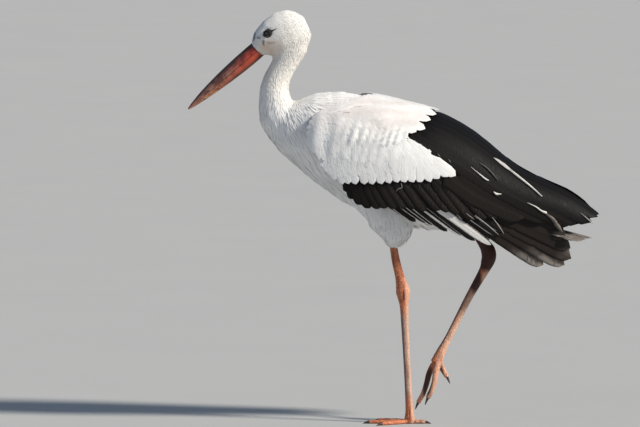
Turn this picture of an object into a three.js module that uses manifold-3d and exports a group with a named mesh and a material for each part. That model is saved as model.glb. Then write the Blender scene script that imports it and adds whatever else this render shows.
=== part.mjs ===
// A walking white stork, life size: millimetres, +Z up, the bird facing -X with its left side towards -Y.
// The origin is on the floor, in the middle of the sole of the standing left foot.
import * as THREE from "three";
import { mergeVertices } from "three/addons/utils/BufferGeometryUtils.js";
import Module from "manifold-3d";

const wasm = await Module();
wasm.setup();

// ---------------------------------------------------------------- driving dimensions

const GAP = 0.3; // left between neighbouring pieces
const LEFT = -1; // side factors: the left side is at -Y
const RIGHT = 1;

// Each station of a swept form is [x, y, z, half height, half width] of one section, across its spine.
const HEAD = [
  [-292, 0, 710, 15, 12],
  [-279, 0, 724, 28, 19],
  [-262, 0, 733, 39, 25],
  [-243, 0, 740, 45.5, 29.5],
  [-224, 0, 746, 46, 30],
  [-207, 0, 752, 38, 25],
  [-193, 0, 758, 20, 14],
];
const UPPER_NECK = [
  [-216, 0, 724, 28, 24],
  [-229, 0, 701, 26.5, 24],
  [-243, 0, 676, 25.5, 23],
  [-253, 0, 655, 27, 24],
  [-257, 0, 635, 30, 27],
];
const LOWER_NECK = [
  [-257, 0, 635, 30, 27],
  [-256, 0, 613, 34.5, 31],
  [-249, 0, 591, 43, 38],
  [-235, 0, 573, 46, 43],
  [-216, 0, 560, 46, 46],
];
const TRUNK = [
  [-269, 0, 590, 12, 14],
  [-256, 0, 580, 33, 32],
  [-233, 0, 569, 52, 48],
  [-197, 0, 560, 74, 65],
  [-158, 0, 550, 91, 74],
  [-115, 0, 534, 101, 80],
  [-74, 0, 511, 106, 83],
  [-31, 0, 489, 103, 82],
  [10, 0, 466, 94, 77],
  [62, 0, 443, 75, 62],
  [111, 0, 424, 50, 44],
  [149, 0, 410, 26, 30],
  [173, 0, 402, 9, 14],
];

// The bill lies on the head's axis, from inside the face to its tip.
const BILL = [
  [-281, 0, 720, 14, 10.5],
  [-292, 0, 710, 15.5, 11.5],
  [-323, 0, 683.5, 15, 10],
  [-355, 0, 656.5, 12.8, 8],
  [-386, 0, 630, 9, 5.6],
  [-407, 0, 611.5, 5, 3.6],
  [-420, 0, 600, 1.5, 1.5],
];
const GAPE_RISE = -1.5; // the line between the mandibles, above the bill's axis
const GAPE_CUT = 0.5;

const EYE = { x: -269.5, y: 19.6, z: 745, radius: 7.4 };

// The folded wing lies on a roof-like surface. u runs back along the wing axis, v goes from 1 at the
// ridge of the back, through 0 at the flank, to -1 at the wing's lower edge.
const WING_ORIGIN = { x: -189, z: 547 };
const WING_SLOPE = THREE.MathUtils.degToRad(19);
const WING_LOWER = 90; // from the wing axis down to the lower edge
const WING_FULLNESS = 0.82; // 1 makes the roof's section an ellipse, less makes it squarer
const WING_TUCK = 0.12; // how far the lower edge draws in, as a share of the half width
const RIDGE = [
  [-40, 62],
  [0, 88],
  [40, 107],
  [95, 116],
  [157, 121],
  [218, 126],
  [255, 122],
  [290, 114],
  [325, 102],
  [362, 88],
  [400, 77],
  [450, 70],
  [500, 64],
  [560, 46],
];
const HALF_WIDTH = [[-40, 50], [0, 76], [90, 99], [181, 106], [281, 97], [382, 76], [483, 52], [560, 34]];

// The white shoulder patch: [v, first u, last u, thickness], one row for each level of the wing.
const SHOULDER = [
  [-0.74, 84, 108, 5],
  [-0.5, 46, 146, 9],
  [-0.3, 24, 190, 13],
  [-0.1, 4, 236, 17],
  [0.06, -6, 266, 19],
  [0.16, -10, 294, 19],
  [0.27, -8, 236, 19],
  [0.39, 12, 178, 18],
  [0.47, 34, 204, 17],
  [0.6, 58, 208, 15],
  [0.76, 84, 210, 12],
  [0.9, 102, 218, 8],
];

// Each feather of a fan: [root u, root v, tip u, tip v], from the one on top to the one below.
const GREATER_COVERTS = [
  [82, -0.36, 150, -1],
  [110, -0.26, 184, -0.92],
  [140, -0.18, 218, -0.84],
  [172, -0.1, 254, -0.74],
  [204, -0.02, 292, -0.65],
  [236, 0.06, 330, -0.58],
  [262, 0.12, 366, -0.52],
];
const TERTIALS = [
  [160, 0.92, 380, 0.96],
  [160, 0.78, 558, 0.84],
  [160, 0.64, 560, 0.52],
  [166, 0.5, 549, 0.28],
  [178, 0.38, 532, 0.1],
  [204, 0.2, 466, -0.14],
];
const SECONDARIES = [
  [150, -0.5, 256, -1],
  [185, -0.42, 298, -0.9],
  [222, -0.34, 336, -0.87],
  [250, -0.26, 374, -0.89],
  [274, -0.18, 408, -0.82],
];
const PRIMARIES = [
  [330, 0.02, 500, 0.02],
  [326, -0.06, 528, -0.2],
  [320, -0.13, 546, -0.43],
  [312, -0.2, 553, -0.66],
  [304, -0.27, 540, -0.85],
  [296, -0.34, 511, -0.96],
];
// A fan's depth is how far its outer face lies under the wing surface; its notch is how much shorter it is
// between two feathers' tips.
const FEATHER = { thickness: 2.6, groove: 1.2, columns: 3 };
const FEATHERS_PER_MM = 0.04; // across a fan
const FANS = {
  coverts: { feathers: GREATER_COVERTS, depth: 7, notch: 9, rows: 3 },
  tertials: { feathers: TERTIALS, depth: 3, notch: 16, rows: 5 },
  secondaries: { feathers: SECONDARIES, depth: 12.5, notch: 10, rows: 3 },
  primaries: { feathers: PRIMARIES, depth: 14, notch: 14, rows: 3 },
};

// The tail is a flat fan round its root, which arches down towards its sides.
const TAIL = {
  root: { x: 137, z: 413 },
  slope: THREE.MathUtils.degToRad(15),
  feathers: 7,
  spread: THREE.MathUtils.degToRad(8),
  middleLength: 215,
  outerLength: 192,
  rootWidth: 36,
  depth: 3.8,
  notch: 9,
  arch: 170, // the larger, the flatter the fan is from side to side
};

const LEFT_THIGH = [
  [-70, -32, 446, 60, 30],
  [-48, -34, 423, 51, 34],
  [-35, -34, 398, 50, 32],
  [-30, -32, 376, 42, 29],
  [-30, -30, 360, 28, 24],
  [-31, -28, 346, 15, 15],
  [-32, -27, 338, 10.5, 10.5],
];
const LEFT_SHIN = [
  [-32, -27, 344, 7, 6],
  [-27, -24, 318, 7.8, 6.2],
  [-19, -20, 284, 8.8, 6.6],
  [-14, -16, 264, 12, 8.5],
  [-12, -15, 252, 13.5, 9.5],
];
const LEFT_SHANK = [
  [-12, -15, 252, 13.5, 9.5],
  [-11, -14, 239, 11, 8.5],
  [-10, -13, 222, 8.2, 6.6],
  [-7, -9, 160, 6.8, 5.6],
  [-3, -5, 86, 6.5, 5.4],
  [0, -1, 28, 7.4, 7],
  [0.5, 0, 10, 10, 10],
  [0.5, 0, -3, 9, 9],
];
const RIGHT_THIGH = [
  [2, 30, 495, 46, 30],
  [38, 34, 460, 36, 27],
  [68, 36, 430, 24, 20],
  [92, 38, 403, 13, 13],
  [102, 39, 391, 9.5, 9.5],
];
const RIGHT_SHIN = [
  [99, 39, 396, 7, 6],
  [120, 39, 369, 7.6, 6.4],
  [138, 40, 345, 9.5, 8],
  [149, 40, 330, 13.5, 9.5],
  [153, 40, 319, 14.5, 10],
];
const RIGHT_SHANK = [
  [153, 40, 319, 14.5, 10],
  [150, 40, 306, 13, 9],
  [141, 39, 286, 9.4, 7.4],
  [112, 34, 235, 7.2, 5.8],
  [77, 26, 166, 6.8, 5.6],
  [60, 21, 134, 9, 7.5],
  [51.5, 18, 114, 12, 10],
];

// Toes: [x, y, z, half height, half width], from the knuckle to the last joint; a claw follows.
const STANDING_TOE = { high: 5, wide: 5.2, rise: 4.2, knuckle: 0.5, taper: 0.22 };
const LEFT_TOES = {
  inner: { turn: 34, length: 58, start: 6 },
  middle: { turn: 2, length: 70, start: 7 },
  outer: { turn: -32, length: 62, start: 6 },
  hind: { turn: 172, length: 25, start: 6 },
};
const CLAW = { length: 11, high: 2.7, wide: 2.6, droop: 3.1 };
// Share of the claw's length, and its size there.
const CLAW_TAPER = [[GAP / CLAW.length, 1], [0.45, 0.75], [0.8, 0.45], [1, 0.22]];
const RIGHT_TOES = {
  inner: [[54, 11, 110], [50, 6, 94], [47.5, 4, 78], [42, 3, 62], [35, 3, 48]],
  middle: [[45, 18, 108], [37.5, 18, 92], [33, 18, 74], [26.5, 17, 55], [17, 16, 38]],
  outer: [[55, 25, 109], [51, 30, 93], [48.5, 32, 77], [43, 32, 61], [37, 31, 50]],
  hind: [[58, 19, 114], [62, 19, 105], [67, 19, 96], [72, 19, 87]],
};
const RAISED_TOE = { high: 6, wide: 5.1, taper: 0.26 };
const KNUCKLES = [0.36, 0.7]; // shares of a standing toe's length

// ---------------------------------------------------------------- colours

function paint(colour, roughness) {
  return new THREE.MeshStandardMaterial({ color: colour, roughness, metalness: 0 });
}
const WHITE = paint(0xe9e4dc, 0.85);
const BLACK = paint(0x17161a, 0.6);
const SILVER = paint(0xaaa6a2, 0.65);
const DUSKY = paint(0x8f857c, 0.8);
const BILL_RED = paint(0xa63d28, 0.45);
const LEG_RED = paint(0xc4593a, 0.6);
const SHANK_PALE = paint(0xb58d7c, 0.75);
const CLAW_HORN = paint(0x33241f, 0.5);
const EYE_DARK = paint(0x120c09, 0.08);

// ---------------------------------------------------------------- solids

// A geometry with one vertex for each place, so that its surface is closed.
function welded(geometry) {
  geometry.deleteAttribute("normal");
  geometry.deleteAttribute("uv");
  return mergeVertices(geometry, 1e-4);
}

// Moves each vertex of a welded geometry to where place(x, y, z) puts it, and makes a solid of it.
function shaped(geometry, place) {
  const points = geometry.getAttribute("position").clone();
  for (let i = 0; i < points.count; i++) {
    const moved = place(points.getX(i), points.getY(i), points.getZ(i));
    points.setXYZ(i, moved.x, moved.y, moved.z);
  }
  const vertProperties = new Float32Array(points.array);
  const triVerts = new Uint32Array(geometry.index.array);
  const solid = new wasm.Manifold(new wasm.Mesh({ numProp: 3, vertProperties, triVerts }));
  if (solid.volume() > 0) return solid;
  for (let i = 0; i < triVerts.length; i += 3) {
    const second = triVerts[i + 1];
    triVerts[i + 1] = triVerts[i + 2];
    triVerts[i + 2] = second;
  }
  return new wasm.Manifold(new wasm.Mesh({ numProp: 3, vertProperties, triVerts }));
}

function largest(solid) {
  const bodies = solid.decompose();
  return bodies.reduce((best, body) => (body.volume() > best.volume() ? body : best));
}

// The solid less its neighbours, which are given grown by the gap.
function clearOf(solid, ...neighbours) {
  return largest(neighbours.reduce((rest, neighbour) => rest.subtract(neighbour), solid));
}

// A smooth function through [place, value] knots, level beyond its ends.
function profile(knots) {
  const slopes = knots.map((_, i) => {
    const [before, after] = [knots[Math.max(i - 1, 0)], knots[Math.min(i + 1, knots.length - 1)]];
    return (after[1] - before[1]) / (after[0] - before[0]);
  });
  return (at) => {
    if (at <= knots[0][0]) return knots[0][1];
    const next = knots.findIndex((knot) => knot[0] >= at);
    if (next < 0) return knots[knots.length - 1][1];
    const [[x0, y0], [x1, y1]] = [knots[next - 1], knots[next]];
    const span = x1 - x0;
    const s = (at - x0) / span;
    const a = y0 * (1 + 2 * s) * (1 - s) ** 2 + y1 * s * s * (3 - 2 * s);
    return a + span * (slopes[next - 1] * s * (1 - s) ** 2 - slopes[next] * s * s * (1 - s));
  };
}

// A form swept through stations [x, y, z, half height, half width], with flat ends and so many rings of
// faces between two stations. Its sections stand across the spine, their width as near the Y axis as the
// spine lets them be.
function sweep(stations, { sides, rings, grow = 0 }) {
  const spine = new THREE.CatmullRomCurve3(stations.map(([x, y, z]) => new THREE.Vector3(x, y, z)));
  const sizes = stations.map(([, , , high, wide]) => new THREE.Vector3(high, wide, 0));
  const girth = new THREE.CatmullRomCurve3(sizes);
  const tube = welded(new THREE.CylinderGeometry(1, 1, 1, sides, rings * (stations.length - 1)));
  return shaped(tube, (across, along, up) => {
    const t = 0.5 - along;
    const ahead = spine.getTangent(t);
    const wide = new THREE.Vector3(0, 1, 0).addScaledVector(ahead, -ahead.y).normalize();
    const high = new THREE.Vector3().crossVectors(ahead, wide);
    const size = girth.getPoint(t);
    const end = t < 1e-6 ? -grow : t > 1 - 1e-6 ? grow : 0;
    return spine
      .getPoint(t)
      .addScaledVector(wide, across * (size.y + grow))
      .addScaledVector(high, up * (size.x + grow))
      .addScaledVector(ahead, end);
  });
}

// A box far larger than the bird, whose top is the floor.
function underFloor() {
  const reach = 1000;
  const slab = welded(new THREE.BoxGeometry(2 * reach, 2 * reach, reach));
  return shaped(slab, (x, y, z) => new THREE.Vector3(x, y, z - reach / 2));
}

function mesh(name, solid, material) {
  const { numProp, numVert, vertProperties, triVerts } = solid.getMesh();
  const places = new Float32Array(numVert * 3);
  for (let i = 0; i < numVert; i++) {
    places.set(vertProperties.subarray(i * numProp, i * numProp + 3), i * 3);
  }
  const geometry = new THREE.BufferGeometry();
  geometry.setAttribute("position", new THREE.BufferAttribute(places, 3));
  geometry.setIndex(new THREE.BufferAttribute(triVerts, 1));
  geometry.computeVertexNormals();
  const made = new THREE.Mesh(geometry, material);
  made.name = name;
  return made;
}

// ---------------------------------------------------------------- head, neck and trunk

const TRUNK_SHAPE = { sides: 18, rings: 1 };
const NECK_SHAPE = { sides: 12, rings: 1 };
const HEAD_SHAPE = { sides: 16, rings: 1 };
const BILL_SHAPE = { sides: 10, rings: 1 };

const trunk = sweep(TRUNK, TRUNK_SHAPE);
const grownTrunk = sweep(TRUNK, { ...TRUNK_SHAPE, grow: GAP });
const grownHead = sweep(HEAD, { ...HEAD_SHAPE, grow: GAP });
const grownBill = sweep(BILL, { ...BILL_SHAPE, grow: GAP });

function eyeball(side, grow = 0) {
  const ball = welded(new THREE.SphereGeometry(EYE.radius + grow, 10, 6));
  return shaped(ball, (x, y, z) => new THREE.Vector3(EYE.x + x, side * EYE.y + y, EYE.z + z));
}

function head() {
  const skull = sweep(HEAD, HEAD_SHAPE);
  return clearOf(skull, grownBill, eyeball(LEFT, GAP), eyeball(RIGHT, GAP));
}

// The neck's two lengths end square to the spine, so the upper one starts a gap above the lower one.
function upperNeck() {
  return clearOf(sweep(UPPER_NECK, NECK_SHAPE), grownHead, sweep(LOWER_NECK, { ...NECK_SHAPE, grow: GAP }));
}

function lowerNeck() {
  return clearOf(sweep(LOWER_NECK, NECK_SHAPE), grownTrunk);
}

// One mandible: the bill above or below a thin slab that lies along the gape.
function mandible(above) {
  const start = BILL[1];
  const tip = BILL[BILL.length - 1];
  const ahead = new THREE.Vector3(tip[0] - start[0], 0, tip[2] - start[2]).normalize();
  const up = new THREE.Vector3(ahead.z, 0, -ahead.x).multiplyScalar(ahead.x < 0 ? 1 : -1);
  const level = up.x * start[0] + up.z * start[2] + GAPE_RISE;
  const whole = sweep(BILL, BILL_SHAPE);
  const normal = above ? up.toArray() : up.clone().negate().toArray();
  const offset = above ? level + GAPE_CUT / 2 : -level + GAPE_CUT / 2;
  return largest(whole.trimByPlane(normal, offset));
}

// ---------------------------------------------------------------- wings

const ridge = profile(RIDGE);
const halfWidth = profile(HALF_WIDTH);

// The point of a wing's outer surface at u, v.
function wingPoint(u, v, side) {
  const roof = (Math.max(v, 0) * Math.PI) / 2;
  const rise = v > 0 ? ridge(u) * Math.sin(roof) ** WING_FULLNESS : WING_LOWER * v;
  const out = halfWidth(u) * (v > 0 ? Math.cos(roof) : 1 - WING_TUCK * v * v);
  return new THREE.Vector3(
    WING_ORIGIN.x + u * Math.cos(WING_SLOPE) + rise * Math.sin(WING_SLOPE),
    side * out,
    WING_ORIGIN.z - u * Math.sin(WING_SLOPE) + rise * Math.cos(WING_SLOPE),
  );
}

// The wing surface's outward normal at u, v.
function wingNormal(u, v, side) {
  const back = wingPoint(u + 1, v, side).sub(wingPoint(u - 1, v, side));
  const up = wingPoint(u, v + 0.01, side).sub(wingPoint(u, v - 0.01, side));
  return new THREE.Vector3().crossVectors(back, up).multiplyScalar(-side).normalize();
}

const SHOULDER_EDGE = { thickness: 3, bluntness: 6 }; // its front and rear edges

function shoulder(side, grow = 0) {
  const levels = SHOULDER.length - 1;
  const patch = welded(new THREE.BoxGeometry(1, 1, 1, 6, 1, levels));
  return shaped(patch, (x, y, z) => {
    const [level, first, last, thickness] = SHOULDER[Math.round((z + 0.5) * levels)];
    const u = THREE.MathUtils.lerp(first - grow, last + grow, x + 0.5);
    const v = level + (Math.abs(z) > 0.499 ? (Math.sign(z) * grow) / WING_LOWER : 0);
    const bulk = 1 - (2 * x) ** SHOULDER_EDGE.bluntness;
    const inner = THREE.MathUtils.lerp(SHOULDER_EDGE.thickness, thickness, bulk);
    const depth = y > 0 ? -grow : inner + grow;
    return wingPoint(u, v, side).addScaledVector(wingNormal(u, v, side), -depth);
  });
}

// Where a fan's column lies between its feathers: whole numbers are the middles of feathers.
function feathersAt(feathers, place) {
  const before = THREE.MathUtils.clamp(Math.floor(place), 0, feathers.length - 2);
  const after = feathers[before + 1];
  return feathers[before].map((value, i) => THREE.MathUtils.lerp(value, after[i], place - before));
}

// How near a column lies to the edge between two feathers: 1 at the edge, 0 well inside a feather.
function nearEdge(column) {
  return column % FEATHER.columns === 0 ? 1 : 0;
}

// One sheet of feathers laid on the wing surface, with grooves and notches between them.
function fan(name, side, grow = 0) {
  const { feathers, depth, notch, rows } = FANS[name];
  const columns = FEATHER.columns * feathers.length;
  const sheet = welded(new THREE.BoxGeometry(1, 1, 1, rows, 1, columns));
  return shaped(sheet, (x, y, z) => {
    const column = Math.round((z + 0.5) * columns);
    const beyondSide = Math.abs(z) > 0.499 ? Math.sign(z) * grow * FEATHERS_PER_MM : 0;
    const place = column / FEATHER.columns - 0.5 + beyondSide;
    const [rootU, rootV, tipU, tipV] = feathersAt(feathers, place);
    const length = Math.hypot(tipU - rootU, (tipV - rootV) * WING_LOWER);
    const end = x > 0.499 ? grow : x < -0.499 ? -grow : 0;
    const l = (x + 0.5) * (1 - (nearEdge(column) * notch) / length) + end / length;
    const [u, v] = [THREE.MathUtils.lerp(rootU, tipU, l), THREE.MathUtils.lerp(rootV, tipV, l)];
    const groove = FEATHER.groove * nearEdge(column) - grow;
    const under = y > 0 ? groove : FEATHER.thickness + FEATHER.groove + grow;
    return wingPoint(u, v, side).addScaledVector(wingNormal(u, v, side), -depth - under);
  });
}

// A wing's pieces, each cut clear of the ones outside it, of the trunk and of the other wing.
function wing(side, tail) {
  const half = (solid) => solid.trimByPlane([0, side, 0], GAP);
  const outer = [shoulder(side, GAP)];
  const parts = { shoulder: clearOf(half(shoulder(side)), grownTrunk) };
  for (const name of ["coverts", "tertials", "secondaries", "primaries"]) {
    parts[name] = clearOf(half(fan(name, side)), grownTrunk, tail, ...outer);
    outer.push(fan(name, side, GAP));
  }
  return parts;
}

// ---------------------------------------------------------------- tail

function tailFan(grow = 0) {
  const columns = FEATHER.columns * TAIL.feathers;
  const sheet = welded(new THREE.BoxGeometry(1, 1, 1, 3, 1, columns));
  return shaped(sheet, (x, y, z) => {
    const edge = nearEdge(Math.round((z + 0.5) * columns));
    const share = 2 * z;
    const end = x > 0.499 ? grow : x < -0.499 ? -grow : 0;
    const fullLength = THREE.MathUtils.lerp(TAIL.middleLength, TAIL.outerLength, share ** 2);
    const length = fullLength - edge * TAIL.notch;
    const back = (x + 0.5) * length + end;
    const turn = share * TAIL.spread;
    const sideGrow = Math.abs(share) === 1 ? share * grow : 0;
    const outward = (share * TAIL.rootWidth) / 2 + Math.sin(turn) * back + sideGrow;
    const under = y > 0 ? edge * FEATHER.groove - grow : TAIL.depth + grow;
    const rise = -(outward ** 2) / TAIL.arch - under;
    return new THREE.Vector3(
      TAIL.root.x + back * Math.cos(turn) * Math.cos(TAIL.slope) + rise * Math.sin(TAIL.slope),
      outward,
      TAIL.root.z - back * Math.cos(turn) * Math.sin(TAIL.slope) + rise * Math.cos(TAIL.slope),
    );
  });
}

// ---------------------------------------------------------------- legs and feet

const LEG_SHAPE = { sides: 10, rings: 1 };
const THIGH_SHAPE = { sides: 10, rings: 1 };

// The toes of the standing foot, laid out flat round the foot's middle.
function standingToe({ turn, length, start }) {
  const angle = THREE.MathUtils.degToRad(turn);
  return [0, ...KNUCKLES, 1].map((share) => {
    const out = start + share * length;
    const knuckle = KNUCKLES.includes(share) ? STANDING_TOE.knuckle : 0;
    const taper = 1 - STANDING_TOE.taper * share;
    return [
      -Math.cos(angle) * out,
      -Math.sin(angle) * out,
      STANDING_TOE.rise * taper,
      STANDING_TOE.high * taper + knuckle,
      STANDING_TOE.wide * taper + knuckle,
    ];
  });
}

function raisedToe(places) {
  return places.map(([x, y, z], i) => {
    const taper = 1 - (RAISED_TOE.taper * i) / (places.length - 1);
    return [x, y, z, RAISED_TOE.high * taper, RAISED_TOE.wide * taper];
  });
}

// A claw goes on from a toe's last two stations, curving down to a blunt point.
function claw(toe) {
  const [before, last] = toe.slice(-2).map(([x, y, z]) => new THREE.Vector3(x, y, z));
  const ahead = last.clone().sub(before).normalize();
  return CLAW_TAPER.map(([share, size]) => {
    const place = last.clone().addScaledVector(ahead, share * CLAW.length);
    return [place.x, place.y, place.z - CLAW.droop * share * share, CLAW.high * size, CLAW.wide * size];
  });
}

const TOE_SHAPE = { sides: 8, rings: 1 };
const CLAW_SHAPE = { sides: 5, rings: 1 };

// A foot's toes and claws, cut clear of the shank and of each other, and flat where they meet the floor.
function foot(toes, shank) {
  const floor = underFloor();
  const parts = {};
  const done = [shank];
  for (const [name, rows] of Object.entries(toes)) {
    parts[`toe_${name}`] = clearOf(sweep(rows, TOE_SHAPE), ...done, floor);
    done.push(sweep(rows, { ...TOE_SHAPE, grow: GAP }));
  }
  for (const [name, rows] of Object.entries(toes)) {
    parts[`claw_${name}`] = clearOf(sweep(claw(rows), CLAW_SHAPE), ...done, floor);
  }
  return parts;
}

function leg(thigh, shin, shank, toes) {
  const grown = { ...LEG_SHAPE, grow: GAP };
  const grownShank = sweep(shank, grown);
  return {
    thigh: clearOf(sweep(thigh, THIGH_SHAPE), grownTrunk, sweep(shin, grown)),
    shin: clearOf(sweep(shin, LEG_SHAPE), grownShank, grownTrunk),
    shank: clearOf(sweep(shank, LEG_SHAPE), underFloor()),
    ...foot(toes, grownShank),
  };
}

function mapped(table, make) {
  return Object.fromEntries(Object.entries(table).map(([name, value]) => [name, make(value)]));
}

// ---------------------------------------------------------------- the bird

const LEG_PAINT = { thigh: WHITE, shin: LEG_RED, shank: SHANK_PALE };
const WING_PAINT = {
  shoulder: WHITE,
  coverts: BLACK,
  tertials: BLACK,
  secondaries: SILVER,
  primaries: BLACK,
};

const stork = new THREE.Group();
stork.name = "white_stork";

stork.add(mesh("trunk", trunk, WHITE));
stork.add(mesh("neck_lower", lowerNeck(), WHITE));
stork.add(mesh("neck_upper", upperNeck(), WHITE));
stork.add(mesh("head", head(), WHITE));
stork.add(mesh("bill_upper", mandible(true), BILL_RED));
stork.add(mesh("bill_lower", mandible(false), BILL_RED));
stork.add(mesh("eye_left", eyeball(LEFT), EYE_DARK));
stork.add(mesh("eye_right", eyeball(RIGHT), EYE_DARK));

const grownTail = tailFan(GAP);
stork.add(mesh("tail", clearOf(tailFan(), grownTrunk), DUSKY));

const wings = { left: wing(LEFT, grownTail), right: wing(RIGHT, grownTail) };
const legs = {
  left: leg(LEFT_THIGH, LEFT_SHIN, LEFT_SHANK, mapped(LEFT_TOES, standingToe)),
  right: leg(RIGHT_THIGH, RIGHT_SHIN, RIGHT_SHANK, mapped(RIGHT_TOES, raisedToe)),
};
for (const side of ["left", "right"]) {
  for (const [name, solid] of Object.entries(wings[side])) {
    stork.add(mesh(`wing_${side}_${name}`, solid, WING_PAINT[name]));
  }
  for (const [name, solid] of Object.entries(legs[side])) {
    const finish = LEG_PAINT[name] ?? (name.startsWith("toe") ? LEG_RED : CLAW_HORN);
    stork.add(mesh(`leg_${side}_${name}`, solid, finish));
  }
}

export default stork;
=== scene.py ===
"""A life-size standing white stork: skin, feathers, bill, eyes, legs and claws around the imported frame."""

import math

import bpy
import numpy as np
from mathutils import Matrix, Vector
from mathutils.bvhtree import BVHTree
from mathutils.kdtree import KDTree


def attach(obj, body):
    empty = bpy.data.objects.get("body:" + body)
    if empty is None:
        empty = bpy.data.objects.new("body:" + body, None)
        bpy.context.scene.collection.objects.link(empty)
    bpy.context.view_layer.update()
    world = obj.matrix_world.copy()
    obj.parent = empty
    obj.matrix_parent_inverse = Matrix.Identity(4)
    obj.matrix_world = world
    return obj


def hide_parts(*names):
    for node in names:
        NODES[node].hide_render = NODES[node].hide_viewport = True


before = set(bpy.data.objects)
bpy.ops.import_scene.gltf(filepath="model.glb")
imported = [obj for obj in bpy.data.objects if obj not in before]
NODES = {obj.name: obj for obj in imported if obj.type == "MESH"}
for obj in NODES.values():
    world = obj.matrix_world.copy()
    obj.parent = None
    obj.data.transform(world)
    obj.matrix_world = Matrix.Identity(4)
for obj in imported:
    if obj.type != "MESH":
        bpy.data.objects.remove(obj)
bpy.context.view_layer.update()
MM = 0.001
SIDES = (("left", -1), ("right", 1))

# ---------------------------------------------------------------- camera, light and floor

PIXEL = 1.9 * MM  # one picture element at the bird
FRAME_WIDTH = 640
LOOK_AT = Vector((-0.170, 0, 0.401))
CAMERA_ELEVATION = math.radians(4.5)
CAMERA_DISTANCE = 15
SENSOR = 36
SUN = (66, 33, 4.7, 8, (1, 0.94, 0.84))  # azimuth, elevation, strength, softness in degrees, colour
FILL = (-35, 20, 4, 2.6, 5, (0.70, 0.84, 1))  # azimuth, elevation, distance, size, power, colour
SKY_COLOUR, SKY_STRENGTH = (0.58, 0.74, 1, 1), 0.28


def toward(azimuth, elevation):
    """The unit vector to a place seen at these degrees: azimuth 0 is the camera's side, 90 the tail's."""
    turn, height = math.radians(azimuth), math.radians(elevation)
    flat = math.cos(height)
    return Vector((math.sin(turn) * flat, -math.cos(turn) * flat, math.sin(height)))


def linked(name, data):
    made = bpy.data.objects.new(name, data)
    bpy.context.scene.collection.objects.link(made)
    return made


def add_camera():
    camera = linked("camera", bpy.data.cameras.new("camera"))
    camera.data.sensor_width = SENSOR
    camera.data.sensor_fit = "HORIZONTAL"
    camera.data.lens = SENSOR * CAMERA_DISTANCE / (FRAME_WIDTH * PIXEL)
    camera.data.clip_end = 200
    camera.location = LOOK_AT + toward(0, math.degrees(CAMERA_ELEVATION)) * CAMERA_DISTANCE
    camera.rotation_euler = (math.pi / 2 - CAMERA_ELEVATION, 0, 0)
    bpy.context.scene.camera = camera


def add_softbox(name, azimuth, elevation, distance, size, power, colour):
    light = bpy.data.lights.new(name, "AREA")
    light.size, light.energy, light.color = size, power, colour
    lamp = linked(name, light)
    lamp.location = LOOK_AT + toward(azimuth, elevation) * distance
    lamp.rotation_euler = (LOOK_AT - lamp.location).to_track_quat("-Z", "Y").to_euler()


def add_sun(name, azimuth, elevation, strength, softness, colour):
    light = bpy.data.lights.new(name, "SUN")
    light.energy, light.angle, light.color = strength, math.radians(softness), colour
    lamp = linked(name, light)
    lamp.rotation_euler = (-toward(azimuth, elevation)).to_track_quat("-Z", "Y").to_euler()


def add_lights():
    add_sun("key", *SUN)
    add_softbox("fill", *FILL)
    world = bpy.data.worlds.new("studio")
    world.use_nodes = True
    backdrop = world.node_tree.nodes["Background"].inputs
    backdrop["Color"].default_value = SKY_COLOUR
    backdrop["Strength"].default_value = SKY_STRENGTH
    bpy.context.scene.world = world
    bpy.context.scene.view_settings.view_transform = "Standard"


# ---------------------------------------------------------------- node materials


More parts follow.
